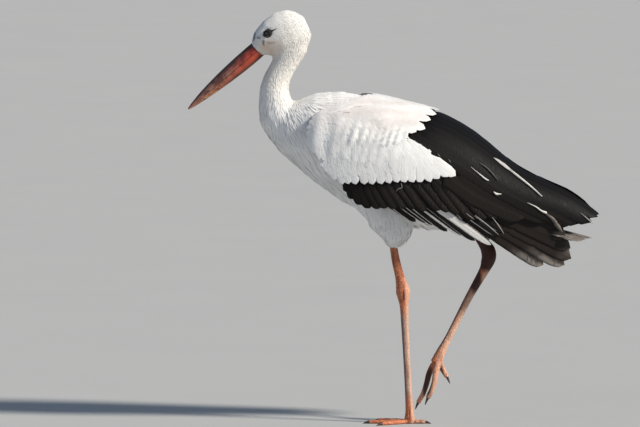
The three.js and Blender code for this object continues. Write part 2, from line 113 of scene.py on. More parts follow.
class Shader:
    """One node material. Its methods add nodes and return output sockets."""

    def __init__(self, name, **fixed):
        self.material = bpy.data.materials.new(name)
        self.material.use_nodes = True
        self.tree = self.material.node_tree
        self.surface = self.tree.nodes["Principled BSDF"]
        for key, value in fixed.items():
            self.surface.inputs[key.replace("_", " ")].default_value = value
        self.place = self.node("ShaderNodeTexCoord").outputs["Object"]

    def node(self, kind, values=(), **settings):
        made = self.tree.nodes.new(kind)
        for key, value in settings.items():
            setattr(made, key, value)
        for socket, value in dict(values).items():
            if isinstance(value, bpy.types.NodeSocket):
                self.tree.links.new(value, made.inputs[socket])
            else:
                made.inputs[socket].default_value = value
        return made

    def math(self, operation, a, b=0.0, clamp=False):
        return self.node("ShaderNodeMath", {0: a, 1: b}, operation=operation, use_clamp=clamp).outputs[0]

    def plus(self, a, b, clamp=False):
        return self.math("ADD", a, b, clamp)

    def minus(self, a, b):
        return self.math("SUBTRACT", a, b)

    def times(self, a, b):
        return self.math("MULTIPLY", a, b)

    def size(self, a):
        return self.math("ABSOLUTE", a)

    def vector(self, operation, a, b):
        return self.node("ShaderNodeVectorMath", {0: a, 1: b}, operation=operation).outputs["Vector"]

    def ramp(self, value, low, high, to_low=0.0, to_high=1.0):
        """value from low to high, as a smooth step from to_low to to_high."""
        values = {0: value, 1: low, 2: high, 3: to_low, 4: to_high}
        return self.node("ShaderNodeMapRange", values, interpolation_type="SMOOTHSTEP").outputs[0]

    def mix(self, share, a, b, blend="MIX"):
        made = self.node("ShaderNodeMix", data_type="RGBA", blend_type=blend)
        for slot, value in ((0, share), (6, a), (7, b)):
            if isinstance(value, bpy.types.NodeSocket):
                self.tree.links.new(value, made.inputs[slot])
            else:
                made.inputs[slot].default_value = value if slot == 0 else (*value, 1)
        return made.outputs[2]

    def noise(self, scale, detail=3.0, stretch=(1, 1, 1), source=None):
        at = self.vector("MULTIPLY", source or self.place, stretch)
        values = {"Vector": at, "Scale": scale, "Detail": detail}
        return self.node("ShaderNodeTexNoise", values).outputs["Fac"]

    def cells(self, scale, stretch=(1, 1, 1)):
        at = self.vector("MULTIPLY", self.place, stretch)
        values = {"Vector": at, "Scale": scale}
        return self.node("ShaderNodeTexVoronoi", values, feature="DISTANCE_TO_EDGE").outputs["Distance"]

    def attribute(self, name):
        return self.node("ShaderNodeAttribute", attribute_name=name).outputs["Vector"]

    def parts(self, vector):
        return self.node("ShaderNodeSeparateXYZ", {0: vector}).outputs[:3]

    def read(self, name):
        """The three parts of a point attribute."""
        return self.parts(self.attribute(name))

    def spot(self, centre, radii, inner=0.45):
        """1 within the ellipsoid's inner share and 0 outside it. Both are in millimetres."""
        shifted = self.vector("SUBTRACT", self.place, tuple(c * MM for c in centre))
        scaled = self.vector("DIVIDE", shifted, tuple(r * MM for r in radii))
        away = self.node("ShaderNodeVectorMath", {0: scaled}, operation="LENGTH").outputs["Value"]
        return self.ramp(away, inner, 1.0, 1.0, 0.0)

    def finish(self, colour=None, roughness=None, height=None, depth=0.0):
        """Links the colour, the roughness and a bump of that depth in metres."""
        if colour is not None:
            self.tree.links.new(colour, self.surface.inputs["Base Color"])
        if roughness is not None:
            self.tree.links.new(roughness, self.surface.inputs["Roughness"])
        if height is not None:
            bump = self.node("ShaderNodeBump", {"Height": height, "Distance": depth, "Strength": 0.8})
            self.tree.links.new(bump.outputs["Normal"], self.surface.inputs["Normal"])
        return self.material


CLEAN_WHITE = (0.90, 0.893, 0.88)
GREY_PINK = (0.72, 0.665, 0.645)
CREAM = (0.88, 0.83, 0.745)
PEACH = (0.80, 0.62, 0.47)
DOWN_AND_SHADE_GREY = (0.60, 0.60, 0.61)
DARK_MOTTLE = (0.075, 0.065, 0.065)
SHADE_BLUE = (0.095, 0.11, 0.16)
FACE_MARKS_AND_SHADE = [  # place, radii, strength and colour of the dark marks on the face and of a painted shade at the front of the forehead
    # the first is painted shade at the front of the forehead, the others are dark mottles
    ((-295, 8, 741), (7, 12, 18), 0.8, SHADE_BLUE),
    ((-277, 17, 727), (5, 11, 11), 0.8, DARK_MOTTLE),
    ((-286, 14, 736), (8, 11, 4.5), 0.65, DARK_MOTTLE),
    ((-262, 25, 727), (16, 12, 5), 0.35, DARK_MOTTLE),
]


def white_markings(shader):
    """The stains on the white plumage and a painted shade at the front of the forehead, which skin and
    feathers share.
    """
    patches = shader.noise(24, 4)
    colour = shader.mix(shader.ramp(patches, 0.35, 0.75, 0, 0.35), CLEAN_WHITE, DOWN_AND_SHADE_GREY)
    for side in (-1, 1):
        back = shader.spot((-55, side * 62, 596), (175, 80, 62), 0.35)
        stain = shader.times(back, shader.ramp(shader.noise(30, 5, (0.6, 1, 1.6)), 0.3, 0.65, 0.35, 1))
        colour = shader.mix(stain, colour, GREY_PINK)
    neck = shader.spot((-232, 0, 690), (70, 70, 120), 0.5)
    colour = shader.mix(shader.times(neck, 0.6), colour, CREAM)
    cheek = shader.spot((-264, 0, 718), (36, 60, 25), 0.35)
    stain = shader.times(cheek, shader.ramp(shader.noise(70, 4), 0.3, 0.7, 0.45, 1))
    colour = shader.mix(stain, colour, PEACH)
    blots = shader.noise(400, 4, (1, 1, 0.7))
    # dark mottles, and the painted shade at the front of the forehead
    for place, radii, strength, tone in FACE_MARKS_AND_SHADE:
        for side in (-1, 1):
            spot = shader.spot((place[0], side * place[1], place[2]), radii, 0.1)
            edge = shader.ramp(shader.plus(shader.times(spot, 0.6), blots), 0.70, 0.94)
            share = shader.times(edge, strength)
            colour = shader.mix(share, colour, tone)
    return colour


def skin_material():
    shader = Shader("skin_white", Roughness=0.8)
    fluff = shader.noise(900, 4, (1, 1, 0.5))
    colour = shader.mix(shader.ramp(fluff, 0.3, 0.7, 0, 0.4), white_markings(shader), DOWN_AND_SHADE_GREY)
    return shader.finish(colour, shader.ramp(fluff, 0.2, 0.8, 0.75, 0.95), fluff, 0.0012)


def barbs(shader):
    """Two heights of a vane: its fine ridges, which run outward from the shaft, and the shaft."""
    along, across, _ = shader.read("reach")
    slant = shader.minus(along, shader.times(shader.size(across), 0.9))
    at = shader.node("ShaderNodeCombineXYZ", {0: slant, 1: shader.times(across, 0.06)}).outputs[0]
    ridges = shader.noise(1.5, 3, (1, 1, 1), at)
    shaft = shader.ramp(shader.size(across), 0.25, 0.75, 1, 0)
    return ridges, shaft


def white_feather():
    shader = Shader("feather_white", Roughness=0.72, Sheen_Weight=0.25, Sheen_Roughness=0.5)
    share, _, chance = shader.read("lie")
    ridges, shaft = barbs(shader)
    colour = white_markings(shader)
    # greyer towards the root: grey down, and painted shade under the feather that lies over it
    rooted = shader.ramp(share, 0.1, 0.6, 0.22, 0)
    colour = shader.mix(rooted, colour, DOWN_AND_SHADE_GREY)
    colour = shader.mix(shader.ramp(chance, 0.5, 1, 0, 0.14), colour, GREY_PINK)
    colour = shader.mix(shader.ramp(ridges, 0.35, 0.7, 0.10, 0), colour, (0.5, 0.49, 0.5))
    height = shader.plus(ridges, shaft)
    return shader.finish(colour, shader.ramp(ridges, 0.3, 0.7, 0.62, 0.85), height, 0.00018)


BLACK = (0.0035, 0.0032, 0.0038)
BROWN = (0.0165, 0.0125, 0.011)
SILVER = (0.50, 0.485, 0.47)
WEB_WHITE = (0.80, 0.78, 0.75)
DUST = (0.26, 0.225, 0.20)


def dark_feather(name, ground):
    """A flight feather: its tone holds how pale, how brown and how dirty each place is. On the coverts part
    of the brown and pale is a painted sheen.
    """
    shader = Shader(name, Specular_IOR_Level=0.1)
    pale, brown, dirt = shader.read("tone")
    chance = shader.read("lie")[2]
    ridges, shaft = barbs(shader)
    colour = shader.mix(brown, ground, BROWN)
    # lighter brown along the barbs: wear, and on the coverts a painted sheen
    wear_and_sheen = shader.times(shader.ramp(ridges, 0.4, 0.7, 0, 0.6), brown)
    colour = shader.mix(wear_and_sheen, colour, (0.030, 0.025, 0.023))
    aged = shader.times(shader.times(chance, 0.2), brown)
    colour = shader.mix(aged, colour, (0.05, 0.041, 0.035))
    streaked = shader.plus(pale, shader.ramp(ridges, 0.3, 0.7, -0.16, 0.12), True)
    web = shader.mix(shader.ramp(streaked, 0.55, 1.0), SILVER, WEB_WHITE)
    colour = shader.mix(shader.ramp(streaked, 0.12, 0.5), colour, web)
    grime = shader.times(dirt, shader.ramp(shader.noise(60, 5), 0.3, 0.65, 0.25, 1))
    colour = shader.mix(grime, colour, DUST)
    colour = shader.mix(shader.times(shaft, 0.3), colour, (0.03, 0.022, 0.019))
    height = shader.plus(ridges, shaft)
    return shader.finish(colour, shader.ramp(ridges, 0.3, 0.7, 0.42, 0.68), height, 0.00022)


# ---------------------------------------------------------------- curves shared with the solids


def profile(knots):
    """A smooth curve through (place, value) knots, level beyond its ends, as a function of an array."""
    x, y = np.array(knots, float).T
    before, after = np.maximum(np.arange(len(x)) - 1, 0), np.minimum(np.arange(len(x)) + 1, len(x) - 1)
    slope = (y[after] - y[before]) / (x[after] - x[before])

    def at(value):
        value = np.clip(value, x[0], x[-1])
        i = np.clip(np.searchsorted(x, value) - 1, 0, len(x) - 2)
        span = x[i + 1] - x[i]
        s = (value - x[i]) / span
        flat = y[i] * (1 + 2 * s) * (1 - s) ** 2 + y[i + 1] * s * s * (3 - 2 * s)
        return flat + span * (slope[i] * s * (1 - s) ** 2 - slope[i + 1] * s * s * (1 - s))

    return at


def smooth_line(rows, count):
    """count rows along a Catmull-Rom curve through the rows."""
    rows = np.array(rows, float)
    padded = np.vstack((2 * rows[0] - rows[1], rows, 2 * rows[-1] - rows[-2]))
    at = np.linspace(0, len(rows) - 1, count)
    i = np.clip(at.astype(int), 0, len(rows) - 2)
    s = (at - i)[:, None]
    a, b, c, d = (padded[i + k] for k in range(4))
    return 0.5 * (2 * b + (c - a) * s + (2 * a - 5 * b + 4 * c - d) * s**2 + (3 * b - a - 3 * c + d) * s**3)


RIGHT = np.array((0.0, 1.0, 0.0))  # the way to the bird's right side


def unit(vectors):
    return vectors / np.maximum(np.linalg.norm(vectors, axis=-1, keepdims=True), 1e-12)


def smoothstep(value, low, high):
    s = np.clip((value - low) / (high - low), 0, 1)
    return s * s * (3 - 2 * s)


def fade(value, low, high):
    return 1 - smoothstep(value, low, high)


def bell(value, middle, width, power=2):
    return np.exp(-(((value - middle) / width) ** power))


WING_X, WING_Z = -189, 547
WING_SLOPE = math.radians(19)
WING_LOWER = 90  # from the wing's axis down to its lower edge
WING_FULLNESS = 0.82
WING_TUCK = 0.12
ridge = profile([(-40, 62), (0, 88), (40, 107), (95, 116), (157, 121), (218, 126), (255, 122), (290, 114),
                 (325, 102), (362, 88), (400, 77), (450, 70), (500, 64), (560, 46)])
half_width = profile([(-40, 50), (0, 76), (90, 99), (181, 106), (281, 97), (382, 76), (483, 52), (560, 34)])
WHITE_AREA = np.array([  # level, front and rear edge of the white part of the folded wing
    (-0.67, 78, 84), (-0.61, 66, 94), (-0.56, 56, 110), (-0.44, 40, 140), (-0.32, 26, 166), (-0.2, 14, 190),
    (-0.1, 4, 216), (-0.02, 0, 234), (0.05, -4, 262), (0.1, -7, 282), (0.15, -9, 291), (0.2, -10, 284),
    (0.23, -9, 226), (0.27, -8, 198), (0.32, -2, 166), (0.36, 6, 180), (0.42, 18, 197), (0.52, 44, 203),
    (0.6, 58, 204), (0.74, 80, 212), (0.93, 104, 218),
])
FRONT, REAR = 1, 2


def white_edge(v, which):
    """How far back the white's front or rear edge is at level v."""
    return np.interp(v, WHITE_AREA[:, 0], WHITE_AREA[:, which])


def wing_point(u, v, side):
    """A place on the folded wing, in metres.

    u runs back in millimetres, and v from -1, the wing's lower edge, to 1, its ridge."""
    roof = np.clip(v, 0, 2) * math.pi / 2
    rise = np.where(v > 0, ridge(u) * np.sin(roof) ** WING_FULLNESS, WING_LOWER * v)
    out = half_width(u) * np.where(v > 0, np.cos(roof), 1 - WING_TUCK * v * v)
    c, s = math.cos(WING_SLOPE), math.sin(WING_SLOPE)
    return np.stack((WING_X + u * c + rise * s, side * out, WING_Z - u * s + rise * c), -1) * MM


def wing_normal(u, v, side):
    back = wing_point(u + 1, v, side) - wing_point(u - 1, v, side)
    up = wing_point(u, v + 0.01, side) - wing_point(u, v - 0.01, side)
    return unit(np.cross(back, up) * -side)


def mirrored(vectors, side):
    """The vectors of the right wing, turned over for each place that is on the left, where side is -1."""
    return vectors * np.stack((np.ones(len(side)), side, np.ones(len(side))), -1)


def wing_place(points):
    """u and v of points beside the folded wing, and their distance outside it in millimetres."""
    x, z = points[:, 0] / MM - WING_X, points[:, 2] / MM - WING_Z
    c, s = math.cos(WING_SLOPE), math.sin(WING_SLOPE)
    u, rise = x * c - z * s, x * s + z * c
    share = np.clip(rise / ridge(u), 0, 1) ** (1 / WING_FULLNESS)
    v = np.where(rise > 0, np.arcsin(share) / (math.pi / 2), rise / WING_LOWER)
    out = half_width(u) * np.where(v > 0, np.cos(np.maximum(v, 0) * math.pi / 2), 1 - WING_TUCK * v * v)
    return u, v, np.abs(points[:, 1]) / MM - out


# ---------------------------------------------------------------- meshes


def mesh_object(name, points, faces, material, smooth=True):
    """A mesh object from points and a list of face arrays, each with its own corner count."""
    mesh = bpy.data.meshes.new(name)
    mesh.vertices.add(len(points))
    mesh.vertices.foreach_set("co", np.asarray(points, np.float32).ravel())
    corners = np.concatenate([f.ravel() for f in faces])
    sizes = np.concatenate([np.full(len(f), f.shape[1]) for f in faces])
    mesh.loops.add(len(corners))
    mesh.loops.foreach_set("vertex_index", corners.astype(np.int32))
    mesh.polygons.add(len(sizes))
    mesh.polygons.foreach_set("loop_start", (np.cumsum(sizes) - sizes).astype(np.int32))
    mesh.update(calc_edges=True)
    if smooth:
        mesh.polygons.foreach_set("use_smooth", np.ones(len(sizes), bool))
    mesh.materials.append(material)
    return linked(name, mesh)


def point_layer(piece, name, values):
    """Stores three values for each point, which the materials read."""
    layer = piece.data.attributes.new(name, "FLOAT_VECTOR", "POINT")
    layer.data.foreach_set("vector", values.astype(np.float32).ravel())


def finish_piece(piece, slot, *nodes):
    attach(piece, "root")
    if nodes:
        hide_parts(*nodes)
    return piece


RANDOM_START = 400  # how far apart two feathers may begin in the noise of their ridges
TUFT_PATCH = 0.003  # the size of a small feather on its coat's map


class Coat:
    """Many closed vanes in one mesh."""

    def __init__(self, name, material, slot, softness=0.0):
        """softness is how far the shading follows the body under the vanes instead of each vane."""
        self.name, self.material, self.slot, self.softness = name, material, slot, softness
        self.points, self.lie, self.reach, self.tone, self.patch = [], [], [], [], []
        self.faces, self.facing = {}, {}  # by their corner count: the faces, and a normal for each corner
        self.total = 0

    def add(self, centre, across, normal, wide, thick, crown, columns, chance, patch,
            tone=None, tilt=0.0, sit=None):
        """Adds vanes. centre, across and normal are (count, stations, 3), and wide is (count, stations, 2),
        the half widths on the two sides. columns are the places across from -1 to 1. crown is how far the
        edges droop, as a share of the half width, and tilt turns the vane about its shaft. patch is the
        place of each root on the coat's map, or a function of places on the vane. sit moves places beside
        the centre line to the height that they have over what the vane lies on."""
        count, stations = centre.shape[:2]
        s = np.array(columns, float)
        under = s[1:-1][::-1] if len(s) > 3 else s[:0]
        ring = np.concatenate((s, under))
        below = np.concatenate((np.zeros(len(s)), np.ones(len(under))))
        half = np.where(ring[None, None] < 0, wide[..., :1], wide[..., 1:])
        shift = half * ring
        full = wide.max(-1)[..., None]
        share = np.linspace(0, 1, stations)[None, :, None]
        body = thick * (1 - 0.55 * share) * (1 - np.abs(ring) ** 1.5)
        rise = (0.5 - below) * body - crown * full * ring**2 + tilt * shift
        flat = centre[:, :, None] + across[:, :, None] * shift[..., None]
        points = (sit(flat) if sit else flat) + normal[:, :, None] * rise[..., None]
        r = len(ring)
        grid = self.total + np.arange(count * stations * r).reshape(count, stations, r)
        self.total += grid.size
        a, b = grid[:, :-1], grid[:, 1:]
        quads = np.stack((a, np.roll(a, -1, 2), np.roll(b, -1, 2), b), -1).reshape(-1, 4)
        self.faces.setdefault(4, []).append(quads)
        self.faces.setdefault(r, []).extend((grid[:, 0, ::-1].reshape(-1, r), grid[:, -1].reshape(-1, r)))
        way = np.where(np.arange(r) < len(s) - 1, 1.0, -1.0)[:, None, None]
        ends = np.stack((normal[:, :-1], normal[:, :-1], normal[:, 1:], normal[:, 1:]), 2)
        self.facing.setdefault(4, []).append((ends[:, :, None] * way).reshape(-1, 3))
        self.facing.setdefault(r, []).append(np.zeros((2 * count * r, 3)))
        self.points.append(points.reshape(-1, 3))
        step = np.linalg.norm(np.diff(centre, axis=1), axis=-1)
        along = np.concatenate((np.zeros((count, 1)), np.cumsum(step, 1)), 1)[..., None] / MM
        ways = share, ring, chance[:, None, None]
        share_there, ring_there, wave = (np.broadcast_to(way, (count, stations, r)) for way in ways)
        self.lie.append(np.stack((share_there, ring_there, wave), -1).reshape(-1, 3))
        reach = along + wave * RANDOM_START, shift / MM, wave
        self.reach.append(np.stack(reach, -1).reshape(-1, 3))
        if tone is None:
            tone = np.zeros((count, stations, len(s), 3))
        inner = tone[:, :, 1 : len(s) - 1][:, :, ::-1][:, :, : len(under)]
        self.tone.append(np.clip(np.concatenate((tone, inner), 2), 0, 1).reshape(-1, 3))
        if callable(patch):
            self.patch.append(patch(share, ring).reshape(-1, 2))
        else:
            spot = np.stack((share_there, ring_there / 2 + 0.5), -1) - 0.5
            self.patch.append((patch[:, None, None] + spot * TUFT_PATCH).reshape(-1, 2))

    def build(self, *nodes):
        points = np.concatenate(self.points)
        faces = [np.concatenate(found) for found in self.faces.values()]
        made = mesh_object(self.name, points, faces, self.material)
        for name, values in (("lie", self.lie), ("reach", self.reach), ("tone", self.tone)):
            point_layer(made, name, np.concatenate(values))
        corners = np.concatenate([f.ravel() for f in faces])
        unwrap = made.data.uv_layers.new(name="OFBake")
        unwrap.data.foreach_set("uv", np.concatenate(self.patch)[corners].astype(np.float32).ravel())
        if self.softness:
            own = np.empty(len(points) * 3, np.float32)
            made.data.vertex_normals.foreach_get("vector", own)
            facing = np.concatenate([np.concatenate(found) for found in self.facing.values()])
            soft = unit(own.reshape(-1, 3)[corners] * (1 - self.softness) + facing * self.softness)
            soft[(facing == 0).all(1)] = 0  # the ends of the vanes keep their own
            made.data.normals_split_custom_set(soft.tolist())
        triangles = sum(len(f) * (f.shape[1] - 2) for f in faces)
        print(self.name, triangles, "triangles")
        return finish_piece(made, self.slot, *nodes)


# ---------------------------------------------------------------- skin

FLESH = ["trunk", "neck_lower", "neck_upper", "head", "leg_left_thigh", "leg_right_thigh",
         "wing_left_shoulder", "wing_right_shoulder"]
SKIN_VOXEL = 0.003
SKIN_GROW = 0.6 * MM
COAT_DEPTH = 4.2  # over the trunk, in millimetres
THINNER = {"neck": 1.6, "head": 1.2, "legs": 1.6}  # the head is over the neck's height, so both count there
UNDER_BLACK = 7.5  # how much lower the skin is under the roots of the dark feathers


def gathered(points, faces, flat):
    """A normal at each point, from the normals of the faces that meet there."""
    normals = np.zeros_like(points)
    for k in range(faces.shape[1]):
        np.add.at(normals, faces[:, k], flat)
    return unit(normals)


def joined_solids(names, grow):
    """One mesh of several solids, each a little larger, so that they run into each other."""
    points, faces, start = [], [], 0
    for name in names:
        mesh = NODES[name].data
        co = np.empty(len(mesh.vertices) * 3, np.float32)
        mesh.vertices.foreach_get("co", co)
        co = co.reshape(-1, 3).astype(float)
        mesh.calc_loop_triangles()
        corners = np.empty(len(mesh.loop_triangles) * 3, np.int32)
        mesh.loop_triangles.foreach_get("vertices", corners)
        spots, back = np.unique(np.round(co, 6), axis=0, return_inverse=True)
        corners = back.ravel()[corners].reshape(-1, 3)
        first, second, third = (spots[corners[:, k]] for k in range(3))
        points.append(spots + gathered(spots, corners, np.cross(second - first, third - first)) * grow)
        faces.append(corners + start)
        start += len(spots)
    return np.concatenate(points), np.concatenate(faces)


def skin_depth(points):
    """How thick the coat of small feathers is over each place, in metres."""
    x, z = points[:, 0] / MM, points[:, 2] / MM
    head = smoothstep(z, 690, 712) * (x < -150)
    neck = smoothstep(z, 600, 640) * (x < -150)
    legs = fade(z, 350, 390)
    return (COAT_DEPTH - THINNER["neck"] * neck - THINNER["head"] * head - THINNER["legs"] * legs) * MM


def under_black(points):
    """The skin's points, lowered where the black feathers reach under the white ones of the wing."""
    u, v, outside = wing_place(points)
    rear = white_edge(v, REAR)
    cover = smoothstep(u, rear - 34, rear - 14) * (u < 330) * (outside > -25) * (v < 0.99) * (v > -1.05)
    side = np.sign(points[:, 1])
    normal = mirrored(wing_normal(u, v, 1), side)
    gap = ((points - wing_point(u, v, side)) * normal).sum(1) / MM
    lower = np.minimum(gap, -COAT_DEPTH - UNDER_BLACK * cover)
    return points + normal * (np.where(cover > 0, lower - gap, 0) * MM)[:, None]


def remeshed(name, points, faces, voxel, relax):
    """The object's points and quads after a voxel remesh and some smoothing."""
    rough = mesh_object(name, points, [faces], None)
    remesh = rough.modifiers.new("remesh", "REMESH")
    remesh.mode, remesh.voxel_size = "VOXEL", voxel
    soften = rough.modifiers.new("soften", "SMOOTH")
    soften.factor, soften.iterations = 0.5, relax
    made = rough.evaluated_get(bpy.context.evaluated_depsgraph_get()).data
    co = np.empty(len(made.vertices) * 3, np.float32)
    made.vertices.foreach_get("co", co)
    corners = np.empty(len(made.loops), np.int32)
    made.loops.foreach_get("vertex_index", corners)
    bpy.data.objects.remove(rough)
    return co.reshape(-1, 3).astype(float), corners.reshape(-1, 4)


def point_normals(points, quads):
    a, b, c, d = (points[quads[:, k]] for k in range(4))
    return gathered(points, quads, np.cross(c - a, d - b))


class Surface:
    """The finished skin: the nearest place on it, with a smooth normal."""

    def __init__(self, points, quads):
        self.points, self.quads = points, quads
        self.normals = point_normals(points, quads)
        self.tree = BVHTree.FromPolygons(points.tolist(), quads.tolist())

    def settle(self, wanted):
        found = [self.tree.find_nearest(p) for p in wanted.tolist()]
        places = np.array([f[0] for f in found])
        normals = unit(self.normals[self.quads[[f[2] for f in found]]].mean(1))
        return places, normals


THIGH_FRONT = (-104, -40, 413)  # the corner where the left thigh leaves the belly


def softened(points, quads, centre, radius, rounds=150):
    """The points with the surface near a place in millimetres drawn smooth."""
    share = smoothstep(-np.linalg.norm(points / MM - centre, axis=1), -radius, -radius * 0.6)
    near = quads[(share[quads] > 0).any(1)]
    start, end = near.ravel(), np.roll(near, -1, 1).ravel()
    links = np.bincount(start, minlength=len(points))
    moving = links > 0
    for _ in range(rounds):
        total = np.stack([np.bincount(start, points[end, k], len(points)) for k in range(3)], -1)
        mean = total[moving] / links[moving, None]
        points[moving] += (mean - points[moving]) * share[moving, None] * 0.6
    return points


def make_skin():
    points, faces = joined_solids(FLESH, SKIN_GROW)
    points, quads = remeshed("rough_skin", points, faces, SKIN_VOXEL, 14)
    points = softened(points, quads, THIGH_FRONT, 46)
    for _ in range(2):
        normals = point_normals(points, quads)
        points = points - normals * skin_depth(points)[:, None] / 2
    points = under_black(points)
    piece = mesh_object("skin", points, [quads], skin_material())
    finish_piece(piece, "plumage_white", *FLESH)
    return Surface(points, quads)


# ---------------------------------------------------------------- the lie of the small feathers

# place (x, y out from the middle, z), direction (x, out, z), length, width, gap between roots, lift at tip
LIE = [
    (-291, 0, 729, 0.7, 0, 0.71, 4.2, 1.5, 1.35, 0.5),
    (-292, 12, 712, 0.9, 0.3, 0.1, 4.2, 1.5, 1.35, 0.4),
    (-281, 0, 744, 0.66, 0, 0.75, 5.2, 1.7, 1.6, 0.6),
    (-266, 9, 765, 0.88, 0, 0.45, 7, 2, 2, 0.8),
    (-243, 9, 785, 1, 0, 0.02, 9, 2.3, 2.3, 1),
    (-214, 9, 777, 0.74, 0, -0.66, 11, 2.6, 2.5, 1.2),
    (-193, 5, 748, 0, 0, -1, 13, 2.9, 2.6, 1.4),
    (-268, 22, 754, 0.98, 0, 0.2, 5, 1.7, 1.6, 0.5),
    (-264, 23, 730, 0.97, 0, -0.2, 5.5, 1.8, 1.7, 0.5),
    (-240, 29, 742, 0.88, 0, -0.46, 8.5, 2.2, 2.2, 0.7),
    (-218, 26, 748, 0.62, 0, -0.78, 10, 2.5, 2.4, 0.9),
    (-278, 12, 702, 0.86, 0, -0.5, 5.5, 1.8, 1.7, 0.6),
    (-258, 16, 696, 0.55, 0, -0.83, 8, 2.2, 2.2, 0.8),
    (-238, 23, 712, 0.38, 0, -0.92, 10, 2.6, 2.4, 0.9),
    (-201, 14, 722, -0.3, 0, -0.95, 14, 3.2, 2.8, 1.3),
    (-214, 20, 700, -0.44, 0, -0.9, 16, 3.4, 3, 1.3),
    (-250, 12, 680, -0.18, 0, -0.98, 13, 3, 2.7, 1.2),
    (-268, 8, 668, -0.25, 0, -0.97, 15, 3.2, 2.8, 1.4),
    (-222, 20, 672, -0.36, 0, -0.93, 18, 3.6, 3.2, 1.3),
    (-246, 24, 655, -0.2, 0, -0.98, 17, 3.6, 3.2, 1.2),
    (-283, 8, 640, -0.05, 0, -1, 19, 3.8, 3.3, 1.7),
    (-230, 18, 638, 0, 0, -1, 20, 4.2, 3.6, 1.4),
    (-257, 28, 630, -0.02, 0, -1, 20, 4.2, 3.6, 1.4),
    (-290, 8, 612, 0.04, 0, -1, 25, 4.6, 3.8, 2.2),
    (-256, 32, 605, 0.12, 0, -0.99, 26, 5, 4.2, 1.8),
    (-222, 22, 612, 0.3, 0.1, -0.93, 24, 5.4, 4.4, 1.6),
    (-284, 6, 580, 0.22, 0, -0.97, 38, 6, 4.6, 3.2),
    (-252, 42, 575, 0.36, 0, -0.93, 38, 6.4, 5, 2.8),
    (-205, 40, 596, 0.62, 0.2, -0.76, 28, 8, 5.6, 1.8),
    (-265, 8, 540, 0.4, 0, -0.92, 52, 7, 5.2, 4),
    (-228, 48, 535, 0.52, 0, -0.85, 50, 7.5, 5.6, 3.6),
    (-235, 15, 505, 0.52, 0, -0.85, 60, 7.5, 5.4, 4.6),
    (-200, 45, 500, 0.6, 0, -0.8, 58, 8, 5.8, 4.2),
    (-190, 62, 560, 0.62, 0.1, -0.78, 34, 10, 6.4, 2.2),
    (-195, 15, 630, 0.92, 0.2, -0.1, 22, 8, 5.2, 1.5),
    (-160, 40, 632, 0.97, 0.1, -0.1, 28, 11, 6.8, 1.8),
    (-150, 10, 644, 1, 0, -0.02, 30, 12, 7.2, 1.8),
    (-100, 20, 650, 1, 0, -0.12, 34, 14, 8, 2),
    (-160, 70, 520, 0.7, 0, -0.72, 36, 11, 6.8, 2.2),
    (-175, 30, 470, 0.68, 0, -0.73, 50, 9, 6.2, 3.4),
    (-125, 55, 455, 0.76, 0, -0.64, 42, 12, 7.2, 2.8),
    (-130, 10, 430, 0.84, 0, -0.54, 42, 12, 7.2, 2.8),
    (-80, 50, 430, 0.8, 0, -0.58, 38, 12, 7.4, 2.6),
    (-80, 0, 408, 0.92, 0, -0.38, 38, 12, 7.4, 2.6),
    (-20, 60, 440, 0.86, 0, -0.5, 36, 13, 7.6, 2.4),
    (10, 0, 392, 0.7, 0, -0.7, 50, 9, 5.4, 15),
    (-6, 36, 402, 0.64, 0, -0.76, 50, 8, 5, 14),
    (34, 36, 398, 0.66, 0, -0.75, 52, 8, 5, 16),
    (60, 40, 420, 0.9, 0, -0.4, 34, 12, 7.2, 2.4),
    (70, 0, 384, 0.95, 0, -0.28, 40, 12, 7.2, 2.8),
    (130, 0, 392, 0.98, 0, -0.2, 44, 12, 7, 3),
    (120, 30, 410, 0.97, 0, -0.25, 40, 12, 7.2, 2.6),
    (150, 0, 425, 0.98, 0, -0.18, 40, 13, 7.4, 2),
    (50, 20, 500, 0.95, 0, -0.32, 36, 14, 8, 2),
]
# The thighs are not a mirrored pair, so their y is the real one.
THIGH_LIE = [
    (-62, -52, 425, 0.4, 0, -0.92, 34, 7.0, 4.5, 4.2),
    (-10, -52, 420, -0.1, 0, -1, 34, 7.0, 4.5, 4.2),
    (-46, -60, 400, 0.12, 0, -1, 30, 6.2, 4.1, 4.2),
    (-20, -30, 402, 0, 0, -1, 30, 6.2, 4.1, 4.2),
    (-58, -30, 385, 0.2, 0, -0.98, 28, 5.4, 3.8, 4.4),
    (-30, -50, 375, 0.03, 0, -1, 24, 4.3, 3.7, 4.8),
    (-32, -30, 358, 0, 0, -1, 18, 3.3, 2.9, 4.0),
    (-32, -28, 342, 0, 0, -1, 10, 1.9, 1.8, 2.2),
    (22, 40, 462, 0.74, 0, -0.67, 34, 6.5, 5.0, 4.8),
    (50, 40, 440, 0.66, 0, -0.75, 28, 5.4, 4.4, 4.8),
    (48, 30, 425, 0.62, 0, -0.78, 28, 5.4, 4.4, 4.8),
    (76, 38, 415, 0.66, 0, -0.75, 21, 4.0, 3.5, 4.0),
    (94, 39, 398, 0.66, 0, -0.75, 13, 2.4, 2.4, 2.6),
]


class Lie:
    """Direction and size of the small feathers anywhere on the body, between the rows of the tables."""

    def __init__(self):
        rows = []
        for row in LIE:
            for side in (-1, 1) if row[1] else (1,):
                rows.append((row[0], row[1] * side, row[2], row[3], row[4] * side, *row[5:]))
        rows += THIGH_LIE
        table = np.array(rows, float)
        self.places, self.values = table[:, :3], table[:, 3:]

    def __call__(self, points):
        away = ((points[:, None] / MM - self.places[None]) ** 2).sum(-1)
        weight = (away + 90) ** -2.4
        return (weight / weight.sum(1, keepdims=True)) @ self.values


SPINE = np.array([(-296, 706), (-270, 728), (-243, 740), (-215, 738), (-216, 724), (-243, 676), (-257, 635),
                  (-249, 591), (-216, 556), (-158, 550), (-74, 511), (62, 443), (180, 398)], float) * MM


